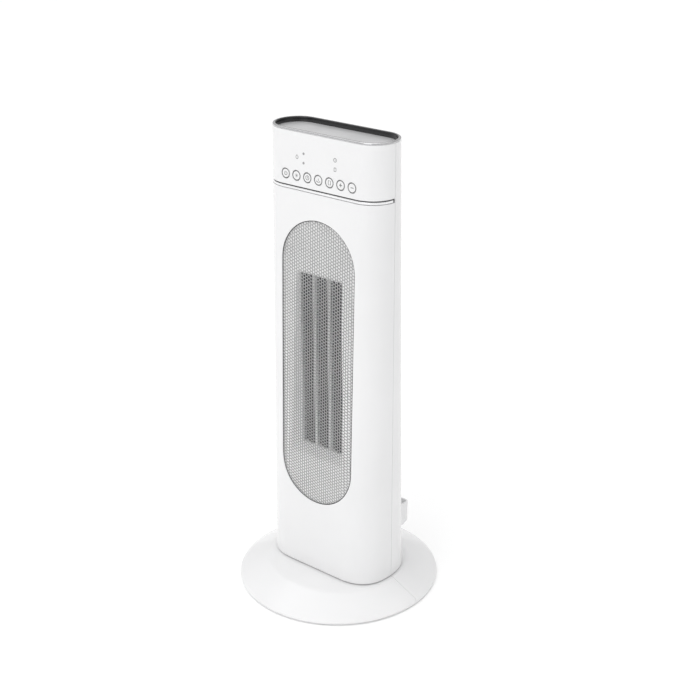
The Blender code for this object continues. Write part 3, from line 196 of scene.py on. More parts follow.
def rounded(points, radii, steps=5):
    """A path whose corners are replaced by curves.

    Each corner p becomes the quadratic curve from p + r·(direction to the point before) to
    p + r·(direction to the point after), with one more point 0.4 r further out on each side.
    """
    points = np.asarray(points, float)
    radii = np.broadcast_to(np.asarray(radii, float), len(points))
    before = np.roll(points, 1, 0) - points
    after = np.roll(points, -1, 0) - points
    before /= np.linalg.norm(before, axis=1)[:, None]
    after /= np.linalg.norm(after, axis=1)[:, None]
    share = np.linspace(0.0, 1.0, steps)[None, :, None]
    start = points + before * radii[:, None]
    stop = points + after * radii[:, None]
    curve = (
        start[:, None] * (1 - share) ** 2
        + 2 * points[:, None] * share * (1 - share)
        + stop[:, None] * share**2
    )
    lead_in = (points + before * radii[:, None] * 1.4)[:, None]
    lead_out = (points + after * radii[:, None] * 1.4)[:, None]
    rows = np.concatenate([lead_in, curve, lead_out], axis=1)
    parts = [row if radius > 0 else row[:1] for row, radius in zip(rows, radii)]
    return np.concatenate(parts)


def quads(rows, columns, round_rows=False, round_columns=False, first=0):
    """Corner numbers of the quads of a grid; a round direction joins its last line to its first."""
    row, column = np.meshgrid(
        np.arange(rows if round_rows else rows - 1),
        np.arange(columns if round_columns else columns - 1),
        indexing="ij",
    )
    row_after, column_after = (row + 1) % rows, (column + 1) % columns
    corners = np.stack(
        [
            row * columns + column,
            row_after * columns + column,
            row_after * columns + column_after,
            row * columns + column_after,
        ],
        -1,
    )
    return corners.reshape(-1, 4) + first


def capped(rings, count):
    """The faces of rings of count points, one after another, with a face over each end."""
    last = (rings - 1) * count
    ends = [[list(range(first, first + count))] for first in (0, last)]
    return [quads(rings, count, round_columns=True), *ends]


def piece(name, parts, body, node, replaces=True):
    """One object from parts of (points, faces, material), with its doubles merged and faces out.

    Unless it only adds to a node, it replaces that node, which it hides.
    """
    mesh = bpy.data.meshes.new(name)
    points = np.concatenate([np.asarray(part[0], float).reshape(-1, 3) for part in parts])
    faces, finish_of, first = [], [], 0
    for part_points, part_faces, material in parts:
        if material.name not in mesh.materials:
            mesh.materials.append(material)
        number = mesh.materials.find(material.name)
        for group in part_faces:
            faces += (np.asarray(group) + first).tolist()
            finish_of += [number] * len(group)
        first += len(np.asarray(part_points).reshape(-1, 3))
    mesh.from_pydata(points.tolist(), [], faces)
    mesh.polygons.foreach_set("material_index", finish_of)
    merged = bmesh.new()
    merged.from_mesh(mesh)
    bmesh.ops.remove_doubles(merged, verts=merged.verts, dist=merge_distance)
    bmesh.ops.recalc_face_normals(merged, faces=merged.faces)
    merged.to_mesh(mesh)
    merged.free()
    mesh.shade_smooth()
    mesh.set_sharp_from_angle(angle=math.radians(sharp_degrees))
    made = bpy.data.objects.new(name, mesh)
    bpy.context.scene.collection.objects.link(made)
    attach(made, body)
    if replaces:
        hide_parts(node)
    return made


def uneven(nodes, links, pattern, shader, least, most):
    """Let a pattern carry a shader's roughness between two values."""
    spread = nodes.new("ShaderNodeMapRange")
    spread.inputs["To Min"].default_value = least
    spread.inputs["To Max"].default_value = most
    links.new(pattern, spread.inputs["Value"])
    links.new(spread.outputs["Result"], shader.inputs["Roughness"])


def bumped(nodes, links, pattern, shader, strength, distance):
    """Raise a shader's surface by a pattern, by up to that distance."""
    bump = nodes.new("ShaderNodeBump")
    bump.inputs["Strength"].default_value = strength
    bump.inputs["Distance"].default_value = distance
    links.new(pattern, bump.inputs["Height"])
    links.new(bump.outputs["Normal"], shader.inputs["Normal"])


def moulded_plastic(name, colour, roughness, coat=0.0):
    """Moulded plastic: a slow drift of tone, a patchy sheen and a fine orange-peel skin."""
    material, nodes, links, shader, place = new_material(name)
    peel_size = 0.0014
    toned(nodes, links, noise(nodes, links, place, 9.0, 3.0), shader, colour, 0.965, 0.3, 0.7)
    handling = noise(nodes, links, place, 38.0, 5.0)
    uneven(nodes, links, handling, shader, roughness * 0.85, roughness * 1.2)
    bumped(nodes, links, noise(nodes, links, place, 1.0 / peel_size), shader, 0.25, 0.00004)
    shader.inputs["Coat Weight"].default_value = coat
    shader.inputs["Coat Roughness"].default_value = 0.08
    return material


white_gloss = moulded_plastic("white_gloss_abs", (0.86, 0.86, 0.865), 0.24, coat=0.3)

# Section of the base as (radius, height): plateau, apron, shoulder, rounded rim, foot flange.
base_section = rounded(
    [
        (hub_hole_radius, plateau_z),
        (plateau_radius, plateau_z),
        (shoulder_radius, shoulder_z),
        (base_radius - 0.0002, shoulder_z - 0.0034),
        (base_radius, underside_z + 0.0011),
        (base_radius - 0.0011, underside_z),
        (flange_inner_radius, underside_z),
        (flange_inner_radius, underside_z + wall),
        (shoulder_radius - wall, underside_z + wall),
        (shoulder_radius - wall, shoulder_z - wall / 2),
        (plateau_radius - wall / 2, plateau_z - wall),
        (hub_hole_radius, plateau_z - wall),
    ],
    [0.0004, 0.0040, 0.0016, 0.0006, 0.0004, 0.0004, 0.0003, 0.0003, 0.0, 0.0, 0.0, 0.0],
    6,
)


def base_half(name, side, cad_node):
    """Half of the dish: the section turned about Z from one end of the joint line to the other.

    Point (r, z) at angle a goes to (r cos a, side·(r sin a + gap/2), z). Within a fillet of the
    joint line the skin sinks by f·(1 − sqrt(1 − (1 − t)²)), t being the share of the fillet
    covered, so the two halves meet in a fine rounded groove.
    """
    fillet = np.where(base_section[:, 0] > shoulder_radius + 0.002, 0.0011, 0.00045)
    fillet = np.where(base_section[:, 1] < underside_z + 0.0005, 0.0, fillet)
    middle = np.linspace(0.0, math.pi, 97)
    edge = np.array([0.0, 0.15, 0.35, 0.6, 1.0, 1.6]) * 0.0011 / 0.11
    turn = np.concatenate([edge, middle[1:-1], math.pi - edge[::-1]])
    along = np.minimum(turn, math.pi - turn)[:, None] * base_section[None, :, 0]
    share = np.clip(along / np.maximum(fillet, 1e-9), 0.0, 1.0)
    sink = fillet * (1 - np.sqrt(np.maximum(0.0, 1 - (1 - share) ** 2)))
    tangent = np.roll(base_section, -1, 0) - np.roll(base_section, 1, 0)
    tangent /= np.maximum(np.linalg.norm(tangent, axis=1), 1e-12)[:, None]
    radius = base_section[None, :, 0] + tangent[None, :, 1] * sink
    height = base_section[None, :, 1] - tangent[None, :, 0] * sink
    points = np.stack(
        [
            radius * np.cos(turn)[:, None],
            side * (radius * np.sin(turn)[:, None] + joint_gap / 2),
            height,
        ],
        -1,
    )
    faces = capped(len(turn), len(base_section))
    return piece(name, [(points, faces, white_gloss)], "base", cad_node)


base_half("base_front_moulding", -1, "base_front_half")
base_half("base_rear_moulding", 1, "base_rear_half")


# ================================================================ front shell
# The tower's front shell is one glossy white ABS moulding. Its plan is a flat face between two
# rounded ends, it thins evenly towards the top, and an upright round-ended opening shows the
# outlet grille, which lies in a rebate behind the opening's edge.

tower_top = 0.6200
foot_z = 0.0268
casing_half_width = 0.0910
top_half_depth = 0.0313
foot_half_depth = 0.0511
band_low = 0.5456
band_high = 0.5506
casing_top = 0.6172
arc_scale = 1.5
share_length = 0.11
grille_radius = 0.0584
grille_low = 0.1266
grille_high = 0.5124
lip_thickness = 0.0010
rebate = 0.0056
face_slope = (foot_half_depth - top_half_depth) / (tower_top - foot_z)
face_lean = math.atan(face_slope)


def half_depth(z):
    """Half the tower's depth at height z, growing evenly from the top down to the foot."""
    return top_half_depth + (tower_top - z) * face_slope


def end_power(z):
    """Power of the superellipse at the tower's ends: 2 at the top, 2.5 at the foot."""
    return 2.0 + 0.5 * (tower_top - z) / (tower_top - foot_z)


def on_casing(share, z, inset, side):
    """Points of the casing's wall, inset below its skin, on the front (-1) or rear (1) half.

    share runs from -1 at the left end to 1 at the right. Its first part, straight / (straight +
    1.5·depth), is the flat face. Over the rest an angle a falls from a quarter turn to nothing,
    with x = straight + reach·cos(a)^(2/p) and y = side·reach·sin(a)^(2/p).
    """
    share, z, inset = np.broadcast_arrays(share, z, inset)
    depth = half_depth(z)
    straight = casing_half_width - depth
    flat = straight / (straight + arc_scale * depth)
    reach = depth - inset
    run = np.abs(share)
    angle = (1 - np.clip((run - flat) / (1 - flat), 0.0, 1.0)) * (math.pi / 2)
    power = 2 / end_power(z)
    x = np.where(run < flat, run / flat * straight, straight + reach * np.cos(angle) ** power)
    y = reach * np.where(run < flat, 1.0, np.sin(angle) ** power)
    return np.stack([np.sign(share) * x, side * np.maximum(y, joint_gap / 2), z], -1)


def share_at(x, z):
    """The share whose point of the skin stands at x: on_casing turned round."""
    depth = half_depth(z)
    straight = casing_half_width - depth
    flat = straight / (straight + arc_scale * depth)
    beyond = np.clip((np.abs(x) - straight) / depth, 0.0, 1.0)
    angle = np.arccos(beyond ** (end_power(z) / 2))
    on_end = flat + (1 - flat) * (1 - angle / (math.pi / 2))
    return np.sign(x) * np.where(np.abs(x) < straight, np.abs(x) / straight * flat, on_end)


def opening_outline(half_width, low, high, corner, counts):
    """(x, z) round an upright rounded rectangle, as its top, left, bottom and right sides.

    Each side runs by arc length from the middle of one corner, over its straight, to the middle
    of the next: past the straight, u = flat + r·sin(t) and v = b - r·(1 - cos(t)).
    """
    middle = (low + high) / 2
    half_height = (high - low) / 2
    sides = []
    for number, (along, away) in enumerate(((half_width, half_height), (half_height, half_width)) * 2):
        flat = along - corner
        reach = flat + corner * math.pi / 4
        run = np.linspace(reach, -reach, counts[number % 2] + 1)[:-1]
        past = np.maximum(np.abs(run) - flat, 0.0) / corner
        u = np.sign(run) * (np.minimum(np.abs(run), flat) + corner * np.sin(past))
        v = away - corner * (1 - np.cos(past))
        sides.append(((u, v), (-v, u), (-u, -v), (v, -u))[number])
    x, z = (np.concatenate([side[axis] for side in sides]) for axis in (0, 1))
    return x, z + middle


def half_edge(low, high, counts):
    """(share, z) round the edge of one half of the casing, in step with opening_outline."""
    across = np.linspace(1.0, -1.0, counts[0] + 1)[:-1]
    down = np.linspace(high, low, counts[1] + 1)[:-1]
    share = np.concatenate([across, np.full(counts[1], -1.0), -across, np.full(counts[1], 1.0)])
    z = np.concatenate([np.full(counts[0], high), down, np.full(counts[0], low), low + high - down])
    return share, z


def wall_with_opening(outline, edge, section, side):
    """The wall between an opening and the edge of its half of the casing.

    A section entry (away, share, inset) puts a row at the fraction share + away / length of the
    straight way, in share and z, from the opening's outline to the edge, inset below the skin.
    """
    x, z = outline
    start = share_at(x, z)
    stop, edge_z = edge
    length = np.hypot((stop - start) * share_length, edge_z - z)
    away, share, inset = (np.asarray(column)[None, :] for column in zip(*section))
    fraction = share + away / length[:, None]
    across = start[:, None] + (stop - start)[:, None] * fraction
    height = z[:, None] + (edge_z - z)[:, None] * fraction
    points = on_casing(across, height, inset, side)
    return points, [quads(len(x), len(section), True, True)]


def wall_section(edge_fillet, lip_fillet, behind):
    """Section of such a wall: outer edge, skin, rounded lip, what lies behind the lip, inside."""
    fold = np.linspace(0.0, math.pi / 2, 5)
    rows = [(-edge_fillet * (1 - math.cos(a)), 1.0, edge_fillet * (1 - math.sin(a))) for a in fold]
    rows += [(-1.6 * edge_fillet, 1.0, 0.0)]
    rows += [(0.0, share, 0.0) for share in np.linspace(0.975, 0.03, 30)]
    rows += [(1.6 * lip_fillet, 0.0, 0.0)]
    rows += [(lip_fillet * (1 - math.sin(a)), 0.0, lip_fillet * (1 - math.cos(a))) for a in fold]
    rows += behind
    rows += [(0.0, share, wall) for share in np.linspace(0.3, 1.0, 9)]
    return rows


counts = (84, 170)
points, faces = wall_with_opening(
    opening_outline(grille_radius, grille_low, grille_high, grille_radius, counts),
    half_edge(foot_z, band_low - joint_gap, counts),
    wall_section(
        0.00035,
        0.0005,
        [(0.0, 0.0, lip_thickness), (rebate, 0.0, lip_thickness), (rebate, 0.0, wall)],
    ),
    -1,
)
piece(
    "tower_front_moulding",
    [(points, faces, white_gloss)],
    "tower",
    "front_shell",
)


# ================================================================ rear shell
# The rear shell is a second white moulding that runs from the foot to the top trim. It has the
# intake opening, recessed screw bosses and holes for the mains switch and the cord gland.

intake_half_width = 0.0440
intake_low = 0.1918
intake_high = 0.4696
boss_radius = 0.0058
boss_depth = 0.0090
screw_hole_radius = 0.0037
shank_hole_radius = 0.0019
screw_seat = 0.0030 - boss_depth
boss_start = -0.0024
bore_reach = 0.0100
switch_bezel_width = 0.0007
screw_places = [(-0.0360, 0.1418), (0.0360, 0.1418), (-0.0500, 0.5206), (0.0500, 0.5206)]
switch_place = (-0.0280, 0.0880)
switch_half = (0.0075, 0.0105)
gland_place = (0.0120, 0.0520)
gland_radius = 0.0055


def face_axes(x, z, side):
    """Origin and axes (across, up, out) of the flat face at x, z on the front or the rear."""
    origin = np.array([x, side * half_depth(z), z])
    lean, rise = math.sin(face_lean), math.cos(face_lean)
    across = np.array([1.0, 0.0, 0.0])
    up_face = np.array([0.0, -side * lean, rise])
    out = np.array([0.0, side * rise, lean])
    return origin, np.array([across, up_face, out])


def turned(section, place, columns=40):
    """A closed (radius, height) section turned a full turn about the out axis of a face place."""
    origin, axes = place
    section = np.asarray(section, float)
    angle = np.arange(columns) * math.tau / columns
    local = np.stack(
        [
            section[None, :, 0] * np.cos(angle)[:, None],
            section[None, :, 0] * np.sin(angle)[:, None],
            np.broadcast_to(section[None, :, 1], (columns, len(section))),
        ],
        -1,
    )
    return local @ axes + origin, [quads(columns, len(section), True, True)]


def post(outline, low, high, place):
    """A closed (across, up) outline extruded along the out axis of a face place and capped."""
    origin, axes = place
    outline = np.asarray(outline, float)
    count = len(outline)
    local = np.stack(
        [np.concatenate([outline, np.full((count, 1), level)], 1) for level in (low, high)]
    )
    return local @ axes + origin, capped(2, count)


def rectangle(half_across, half_up):
    """The four corners of a rectangle about the middle."""
    return [
        (-half_across, -half_up),
        (half_across, -half_up),
        (half_across, half_up),
        (-half_across, half_up),
    ]


def bored(made, tools):
    """Cut closed tool shapes, each (points, faces), out of a piece and keep the result as its mesh.

    The shapes may cross each other, as the two arms of a screw's recess do.
    """
    tool_mesh = bpy.data.meshes.new("boring_tool")
    joined = bmesh.new()
    for points, faces in tools:
        points = np.asarray(points).reshape(-1, 3)
        corners = [joined.verts.new(point) for point in points]
        for group in faces:
            for face in np.asarray(group).tolist():
                joined.faces.new([corners[number] for number in face])
    bmesh.ops.remove_doubles(joined, verts=joined.verts, dist=merge_distance)
    bmesh.ops.recalc_face_normals(joined, faces=joined.faces)
    joined.to_mesh(tool_mesh)
    joined.free()
    tool = bpy.data.objects.new("boring_tool", tool_mesh)
    bpy.context.scene.collection.objects.link(tool)
    bore = made.modifiers.new("bore", "BOOLEAN")
    bore.operation = "DIFFERENCE"
    bore.solver = "EXACT"
    bore.use_self = True
    bore.object = tool
    graph = bpy.context.evaluated_depsgraph_get()
    mesh = bpy.data.meshes.new_from_object(made.evaluated_get(graph))
    made.modifiers.clear()
    made.data = mesh
    mesh.set_sharp_from_angle(angle=math.radians(sharp_degrees))
    bpy.data.objects.remove(tool)
    return made


counts = (70, 150)
points, faces = wall_with_opening(
    opening_outline(intake_half_width, intake_low, intake_high, 0.0080, counts),
    half_edge(foot_z, casing_top, counts),
    wall_section(0.00035, 0.0004, [(0.0, 0.0, wall)]),
    1,
)
rear_moulding = piece(
    "tower_rear_moulding",
    [(points, faces, white_gloss)],
    "tower",
    "rear_shell",
)


def round_bore(radius, place, columns=40):
    """A round boring tool that runs right through the wall at a face place."""
    section = [(0.0, -bore_reach), (radius, -bore_reach), (radius, bore_reach), (0.0, bore_reach)]
    return turned(section, place, columns)


switch_hole = rectangle(*(half - switch_bezel_width for half in switch_half))
boring_tools = [
    post(switch_hole, -bore_reach, 0.004, face_axes(*switch_place, 1)),
    round_bore(gland_radius + joint_gap, face_axes(*gland_place, 1)),
]
bosses = []
for screw_place in screw_places:
    place = face_axes(*screw_place, 1)
    boring_tools.append(round_bore(screw_hole_radius, place, 48))
    boss = [
        (screw_hole_radius, boss_start),
        (screw_hole_radius, screw_seat),
        (shank_hole_radius, screw_seat),
        (shank_hole_radius, -boss_depth),
        (boss_radius, -boss_depth),
        (boss_radius, boss_start),
    ]
    bosses.append((*turned(boss, place, 48), white_gloss))
bored(rear_moulding, boring_tools)
piece("rear_screw_bosses", bosses, "tower", "rear_shell", replaces=False)


# ================================================================ outlet grille
# The outlet is covered by one sheet of perforated steel, bent to the casing and painted grey. Its
# round holes stand in upright columns, each column half a pitch lower than the last.

hole_pitch = 0.00425
hole_radius = 0.00170
sheet_margin = 0.0025
shadow_ring_overlap = 0.0030
shadow_ring_showing = 0.0010
sheet_inset = 0.0011
sheet_thickness = 0.0006


def skin_x(run, z):
    """x of the skin at a distance run along it, which is share times straight + 1.5·depth."""
    return on_casing(run / (casing_half_width + (arc_scale - 1) * half_depth(z)), z, 0.0, -1)[..., 0]


def in_opening(run, z, margin):
    """Whether a point of the sheet lies within the opening's outline grown by a margin."""
    middle = np.clip(z, grille_low + grille_radius, grille_high - grille_radius)
    return np.hypot(skin_x(run, z), z - middle) < grille_radius + margin


def perforated_sheet():
    """Six-sided cells, each with a round hole of twelve corners, on both faces of the sheet.

    Cell (i, j) is centred at run = i·pitch·sqrt(3)/2 and z = (j + half of i's odd part)·pitch. A
    sixth of a cell's face is the five-cornered face between one edge and three hole corners.
    """
    column, row = np.meshgrid(np.arange(-19, 20), np.arange(28, 123), indexing="ij")
    run = column.ravel() * hole_pitch * math.sqrt(3) / 2
    z = (row + (column % 2) / 2).ravel() * hole_pitch
    kept = in_opening(run, z, sheet_margin)
    run, z = run[kept], z[kept]
    sixths = np.arange(6) * math.tau / 6
    twelfths = np.arange(12) * math.tau / 12
    reach = hole_pitch / math.sqrt(3)
    plan = np.concatenate(
        [
            reach * np.stack([np.cos(sixths), np.sin(sixths)], -1),
            hole_radius * np.stack([np.cos(twelfths), np.sin(twelfths)], -1),
        ]
    )
    run_all = run[:, None] + plan[None, :, 0]
    z_all = z[:, None] + plan[None, :, 1]
    share = run_all / (casing_half_width + (arc_scale - 1) * half_depth(z_all))
    front = on_casing(share, z_all, sheet_inset, -1)
    back = on_casing(share, z_all, sheet_inset + sheet_thickness, -1)
    points = np.stack([front, back], 1)
    first = (np.arange(len(run)) * 36)[:, None, None]
    corner = np.arange(6)
    after = (corner + 1) % 6
    web = np.stack(
        [corner, after, 6 + 2 * after, 6 + 2 * corner + 1, 6 + 2 * corner], -1
    )
    spot = np.arange(12)
    next_spot = (spot + 1) % 12
    hole_wall = np.stack([6 + spot, 6 + next_spot, 24 + next_spot, 24 + spot], -1)
    toward = (np.arange(6) + 0.5) * math.tau / 6
    alone = ~in_opening(
        run[:, None] + hole_pitch * np.cos(toward),
        z[:, None] + hole_pitch * np.sin(toward),
        sheet_margin,
    )
    edge_wall = np.stack([corner, after, 18 + after, 18 + corner], -1)
    face = [(first + web[None]).reshape(-1, 5), (first + hole_wall[None]).reshape(-1, 4)]
    rear = [(first + 18 + web[None]).reshape(-1, 5), (first + edge_wall[None])[alone]]
    return points, face, rear


def painted_metal(name, colour, metallic, roughness, scratches=0.0):
    """Metal with a tone that wanders, fine specks in its gloss and, if asked, drawn-out streaks."""
    material, nodes, links, shader, place = new_material(name)
    toned(nodes, links, noise(nodes, links, place, 22.0, 4.0), shader, colour, 0.9, 0.3, 0.7)
    stretch = nodes.new("ShaderNodeMapping")
    stretch.inputs["Scale"].default_value = (6.0, 1500.0, 1500.0) if scratches else (700.0,) * 3
    links.new(place, stretch.inputs["Vector"])
    fine = noise(nodes, links, stretch.outputs["Vector"], 1.0, 3.0)
    uneven(nodes, links, fine, shader, roughness * 0.8, roughness * 1.25)
    bumped(nodes, links, fine, shader, scratches or 0.12, 0.00003)
    shader.inputs["Metallic"].default_value = metallic
    return material


grille_paint = painted_metal("grille_grey_paint", (0.43, 0.43, 0.433), 0.2, 0.42)
grille_primer = painted_metal("grille_pale_primer", (0.80, 0.80, 0.80), 0.0, 0.6)
sheet_points, sheet_face, sheet_rear = perforated_sheet()
counts = (84, 170)


def round_the_opening(growth):
    """The outlet opening's outline, grown by a distance all round."""
    radius = grille_radius + growth
    return opening_outline(radius, grille_low - growth, grille_high + growth, radius, counts)


# The near-black ring round the opening is painted shadow. It stands for the shadow in the thin gap
# between the shell's lip and the grille sheet.
shadow_ring_x, shadow_ring_z = round_the_opening(shadow_ring_overlap)
painted_gap_shadow_ring = wall_with_opening(
    round_the_opening(-shadow_ring_showing),
    (share_at(shadow_ring_x, shadow_ring_z), shadow_ring_z),
    [
        (0.0, 1.0, 0.00108),
        (0.0, 1.0, 0.00102),
        (0.0, 0.3, 0.00102),
        (0.0, 0.0, 0.0009),
        (0.0, 0.0, 0.00108),
    ],
    -1,
)
# Near-black finish of the painted gap shadow ring.
gap_shadow_black = speckled("gap_shadow_black_ring", (0.05, 0.05, 0.05), 0.3, 0.0010)
piece(
    "perforated_grille",
    [
        (sheet_points, sheet_face, grille_paint),
        (sheet_points, sheet_rear, grille_primer),
        (*painted_gap_shadow_ring, gap_shadow_black),
    ],
    "tower",
    "outlet_grille",
)


# ================================================================ heater core behind the grille
# Three columns of folded aluminium fin are pressed against two upright ceramic heater bars. A
# moulded duct with a flared mouth leads their warm air to the grille.

fin_half_width = 0.00940
fin_columns = (-0.023667, 0.0, 0.023667)
fin_front = -0.02936
fin_back = -0.01636
core_low = 0.2015
core_high = 0.4385
fin_pitch = 0.0034
fin_thickness = 0.00022
fin_end_gap = 0.0006
fold_sharpness = 0.995
cheek_thickness = 0.0003
bar_centres = (-0.011833, 0.011833)
bar_half_width = 0.0017
bar_front = -0.029958
bar_back = -0.015758


def folded_fin(centre):
    """A strip folded to and fro across its column.

    x = half width · (2/pi)·asin(0.995·sin(2·pi·z/pitch)), a triangle wave with rounded folds. The
    strip's two faces stand half its thickness to either side of that line, along its normal.
    """
    folds = round((core_high - core_low) / fin_pitch)
    phase = np.linspace(0.0, folds, folds * 12 + 1)
    half = fin_half_width - fin_end_gap
    z = core_low + fin_end_gap + phase / folds * (core_high - core_low - 2 * fin_end_gap)
    wave = fold_sharpness * np.sin(math.tau * phase)
    x = centre + half * np.arcsin(wave) / math.asin(fold_sharpness)
    run = np.stack([np.gradient(x), np.gradient(z)], -1)
    run /= np.linalg.norm(run, axis=1)[:, None]
    across = np.stack([-run[:, 1], run[:, 0]], -1) * fin_thickness / 2
    rows = []
    for side, y in ((1, fin_front), (1, fin_back), (-1, fin_back), (-1, fin_front)):
        shifted = (x + side * across[:, 0], np.full_like(x, y), z + side * across[:, 1])
        rows.append(np.stack(shifted, -1))
    points = np.stack(rows, 1)
    return points, capped(len(phase), 4)


def upright(outline, low, high):
    """A closed (x, y) outline carried straight up from one height to another and capped."""
    outline = np.asarray(outline, float)
    count = len(outline)
    points = np.stack(
        [np.concatenate([outline, np.full((count, 1), z)], 1) for z in (low, high)]
    )
    return points, capped(2, count)


def box_outline(x_low, x_high, y_low, y_high):
    """The four corners of a rectangle in plan."""
    return [(x_low, y_low), (x_high, y_low), (x_high, y_high), (x_low, y_high)]


# The fins' near-black colour is painted shade: aluminium fins deep behind the grille, darkened to look
# shaded.
shade_dark_fin_metal = painted_metal("fin_aluminium_painted_shade", (0.05, 0.05, 0.051), 0.7, 0.42)
bar_sleeve = painted_metal("heater_bar_sleeve", (0.80, 0.80, 0.79), 0.25, 0.40)
for number, centre in enumerate(fin_columns, 1):
    cheeks = []
    for side in (-1, 1):
        inner = centre + side * (fin_half_width - cheek_thickness)
        outer = centre + side * fin_half_width
        outline = box_outline(min(inner, outer), max(inner, outer), fin_front, fin_back)
        cheeks.append((*upright(outline, core_low, core_high), bar_sleeve))
    node = f"fin_stack_{number}"
    piece(
        f"folded_fins_{number}",
        [(*folded_fin(centre), shade_dark_fin_metal), *cheeks],
        "tower",
        node,
    )
for number, centre in enumerate(bar_centres, 1):
    node = f"heater_bar_{number}"
    corners = box_outline(centre - bar_half_width, centre + bar_half_width, bar_front, bar_back)
    outline = rounded(corners, 0.0006, 4)
    bar = upright(outline, core_low, core_high)
    piece(f"ceramic_bar_{number}", [(*bar, bar_sleeve)], "tower", node)

glowing_duct_plastic = moulded_plastic("duct_moulding_painted_glow", (0.90, 0.90, 0.90), 0.42)
frame_plastic = moulded_plastic("core_frame_moulding", (0.80, 0.80, 0.80), 0.5)
# The duct gives off light of its own, though it is no lamp: painted light that brightens it behind the
# grille.
lit_up(glowing_duct_plastic, 0.12)
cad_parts["outlet_duct"].material_slots[0].material = glowing_duct_plastic
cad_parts["core_frame"].material_slots[0].material = frame_plastic


# ================================================================ accent band
# A bright metal-look strip lies in a near-black channel round the front, where the head meets the
# body.
# The channel's black is painted shade for the gaps round the strip: it shows as a dark line above the
# strip and at its right-hand end, and a hairline below.

channel_low = 0.5456
channel_high = 0.5503
strip_low = 0.5459
strip_high = 0.5490


def carried_wall(section, side, start=-1.0, stop=1.0, fillet=0.0, columns=150):
    """A closed (z, inset) section carried along the casing from one share to another.

    Within a fillet of either end every row sinks by f·(1 - sqrt(1 - (1 - t)^2)), t being the
    share of the fillet covered, so that the end is rounded like the section's own corners.
    """
    section = np.asarray(section, float)
    turn = np.linspace(start, stop, columns)
    if fillet:
        edge = np.array([0.0, 0.1, 0.3, 0.6, 1.0]) * fillet / share_length
        turn = np.concatenate([start + edge, turn[1:-1], stop - edge[::-1]])
    away = np.minimum(turn - start, stop - turn)[:, None] * share_length
    covered = np.clip(away / max(fillet, 1e-9), 0.0, 1.0)
    sink = fillet * (1 - np.sqrt(np.maximum(0.0, 1 - (1 - covered) ** 2)))
    sink = np.where(section[None, :, 1] < 0.5 * section[:, 1].max(), sink, 0.0)
    points = on_casing(turn[:, None], section[None, :, 0], section[None, :, 1] + sink, side)
    return points, capped(len(turn), len(section))


# Near-black channel colour: painted shade standing in for the shadow in the gaps round the strip.
gap_shade_black = moulded_plastic("channel_painted_gap_shade", (0.035, 0.035, 0.036), 0.35)
bright_trim = painted_metal("bright_trim_foil", (0.90, 0.90, 0.91), 0.8, 0.16)
channel = [(channel_low, 0.0017), (channel_high, 0.0017), (channel_high, wall), (channel_low, wall)]
strip = rounded(
    [(strip_low, 0.0003), (strip_high, 0.0003), (strip_high, 0.0018), (strip_low, 0.0018)],
    [0.0006, 0.0006, 0.0, 0.0],
)
piece(
    "accent_band_in_channel",
    [
        (*carried_wall(channel, -1), gap_shade_black),
        (*carried_wall(strip, -1, -0.985, 0.975, 0.0006), bright_trim),
    ],
    "tower",
    "accent_band",
)


# ================================================================ control fascia and its prints
# The head's front is a glossy white moulding with seven round key holes. Small light-grey pad
# prints above the keys show what the heater is doing.

key_pitch = 0.0173
key_z = 0.5637
key_hole_radius = 0.0068
fascia_low = 0.5506
fascia = rounded(
    [(fascia_low, 0.0), (casing_top, 0.0), (casing_top, wall), (fascia_low, wall)],
    [0.0004, 0.0003, 0.0, 0.0],
)
control_face = piece(
    "control_face",
    [(*carried_wall(fascia, -1, fillet=0.00035, columns=190), white_gloss)],
    "tower",
    "control_fascia",
)
key_tools = []
for number in range(7):
    place = face_axes((number - 3) * key_pitch, key_z, -1)
    hole = [(0.0, -0.006), (key_hole_radius, -0.006), (key_hole_radius, 0.003), (0.0, 0.003)]
    key_tools.append(turned(hole, place, 56))
bored(control_face, key_tools)


def stroke(path, width, low, high, place):
    """An open (across, up) path drawn as a raised line of even width with square ends."""
    path = np.asarray(path, float)
    run = np.gradient(path, axis=0)
    run /= np.linalg.norm(run, axis=1)[:, None]
    side = np.stack([-run[:, 1], run[:, 0]], -1) * width / 2
    return post(np.concatenate([path + side, (path - side)[::-1]]), low, high, place)


def ring_of(radius, width, low, high, place, columns=40):
    """A raised ring of square section."""
    inner, outer = radius - width / 2, radius + width / 2
    return turned([(inner, low), (outer, low), (outer, high), (inner, high)], place, columns)


def arc(radius, start, stop, steps=24):
    """Points of a circle's arc between two angles in degrees."""
    angle = np.radians(np.linspace(start, stop, steps))
    return np.stack([radius * np.cos(angle), radius * np.sin(angle)], -1)


print_ink = speckled("pad_print_grey", (0.34, 0.34, 0.34), 0.15, 0.0006)
ink_low, ink_high = -0.00010, 0.00003
print_line = 0.0009
prints = []


def add_print(shape):
    """Keep one printed shape for the fascia."""
    prints.append((*shape, print_ink))


drop = face_axes(-0.0338, 0.5865, -1)
turn = np.radians(np.linspace(-240.0, 60.0, 28))
drop_path = 0.0018 * np.stack([np.cos(turn), np.sin(turn)], -1)[::-1]
add_print(stroke(drop_path, print_line, ink_low, ink_high, drop))
drop_tip = [(-0.0012, 0.0013), (0.0, 0.0031), (0.0012, 0.0013)]
add_print(stroke(drop_tip, print_line, ink_low, ink_high, drop))
for height in (0.5922, 0.5807):
    dot = face_axes(-0.0234, height, -1)
    disc = [(0.0, ink_low), (0.0016, ink_low), (0.0016, ink_high), (0.0, ink_high)]
    add_print(turned(disc, dot, 24))
clock = face_axes(0.0256, 0.5925, -1)
add_print(ring_of(0.0022, print_line, ink_low, ink_high, clock))
add_print(stroke([(0.0, 0.0014), (0.0, 0.0), (0.0010, -0.0004)], 0.0005, ink_low, ink_high, clock))
sheet_sign = face_axes(0.0258, 0.5811, -1)
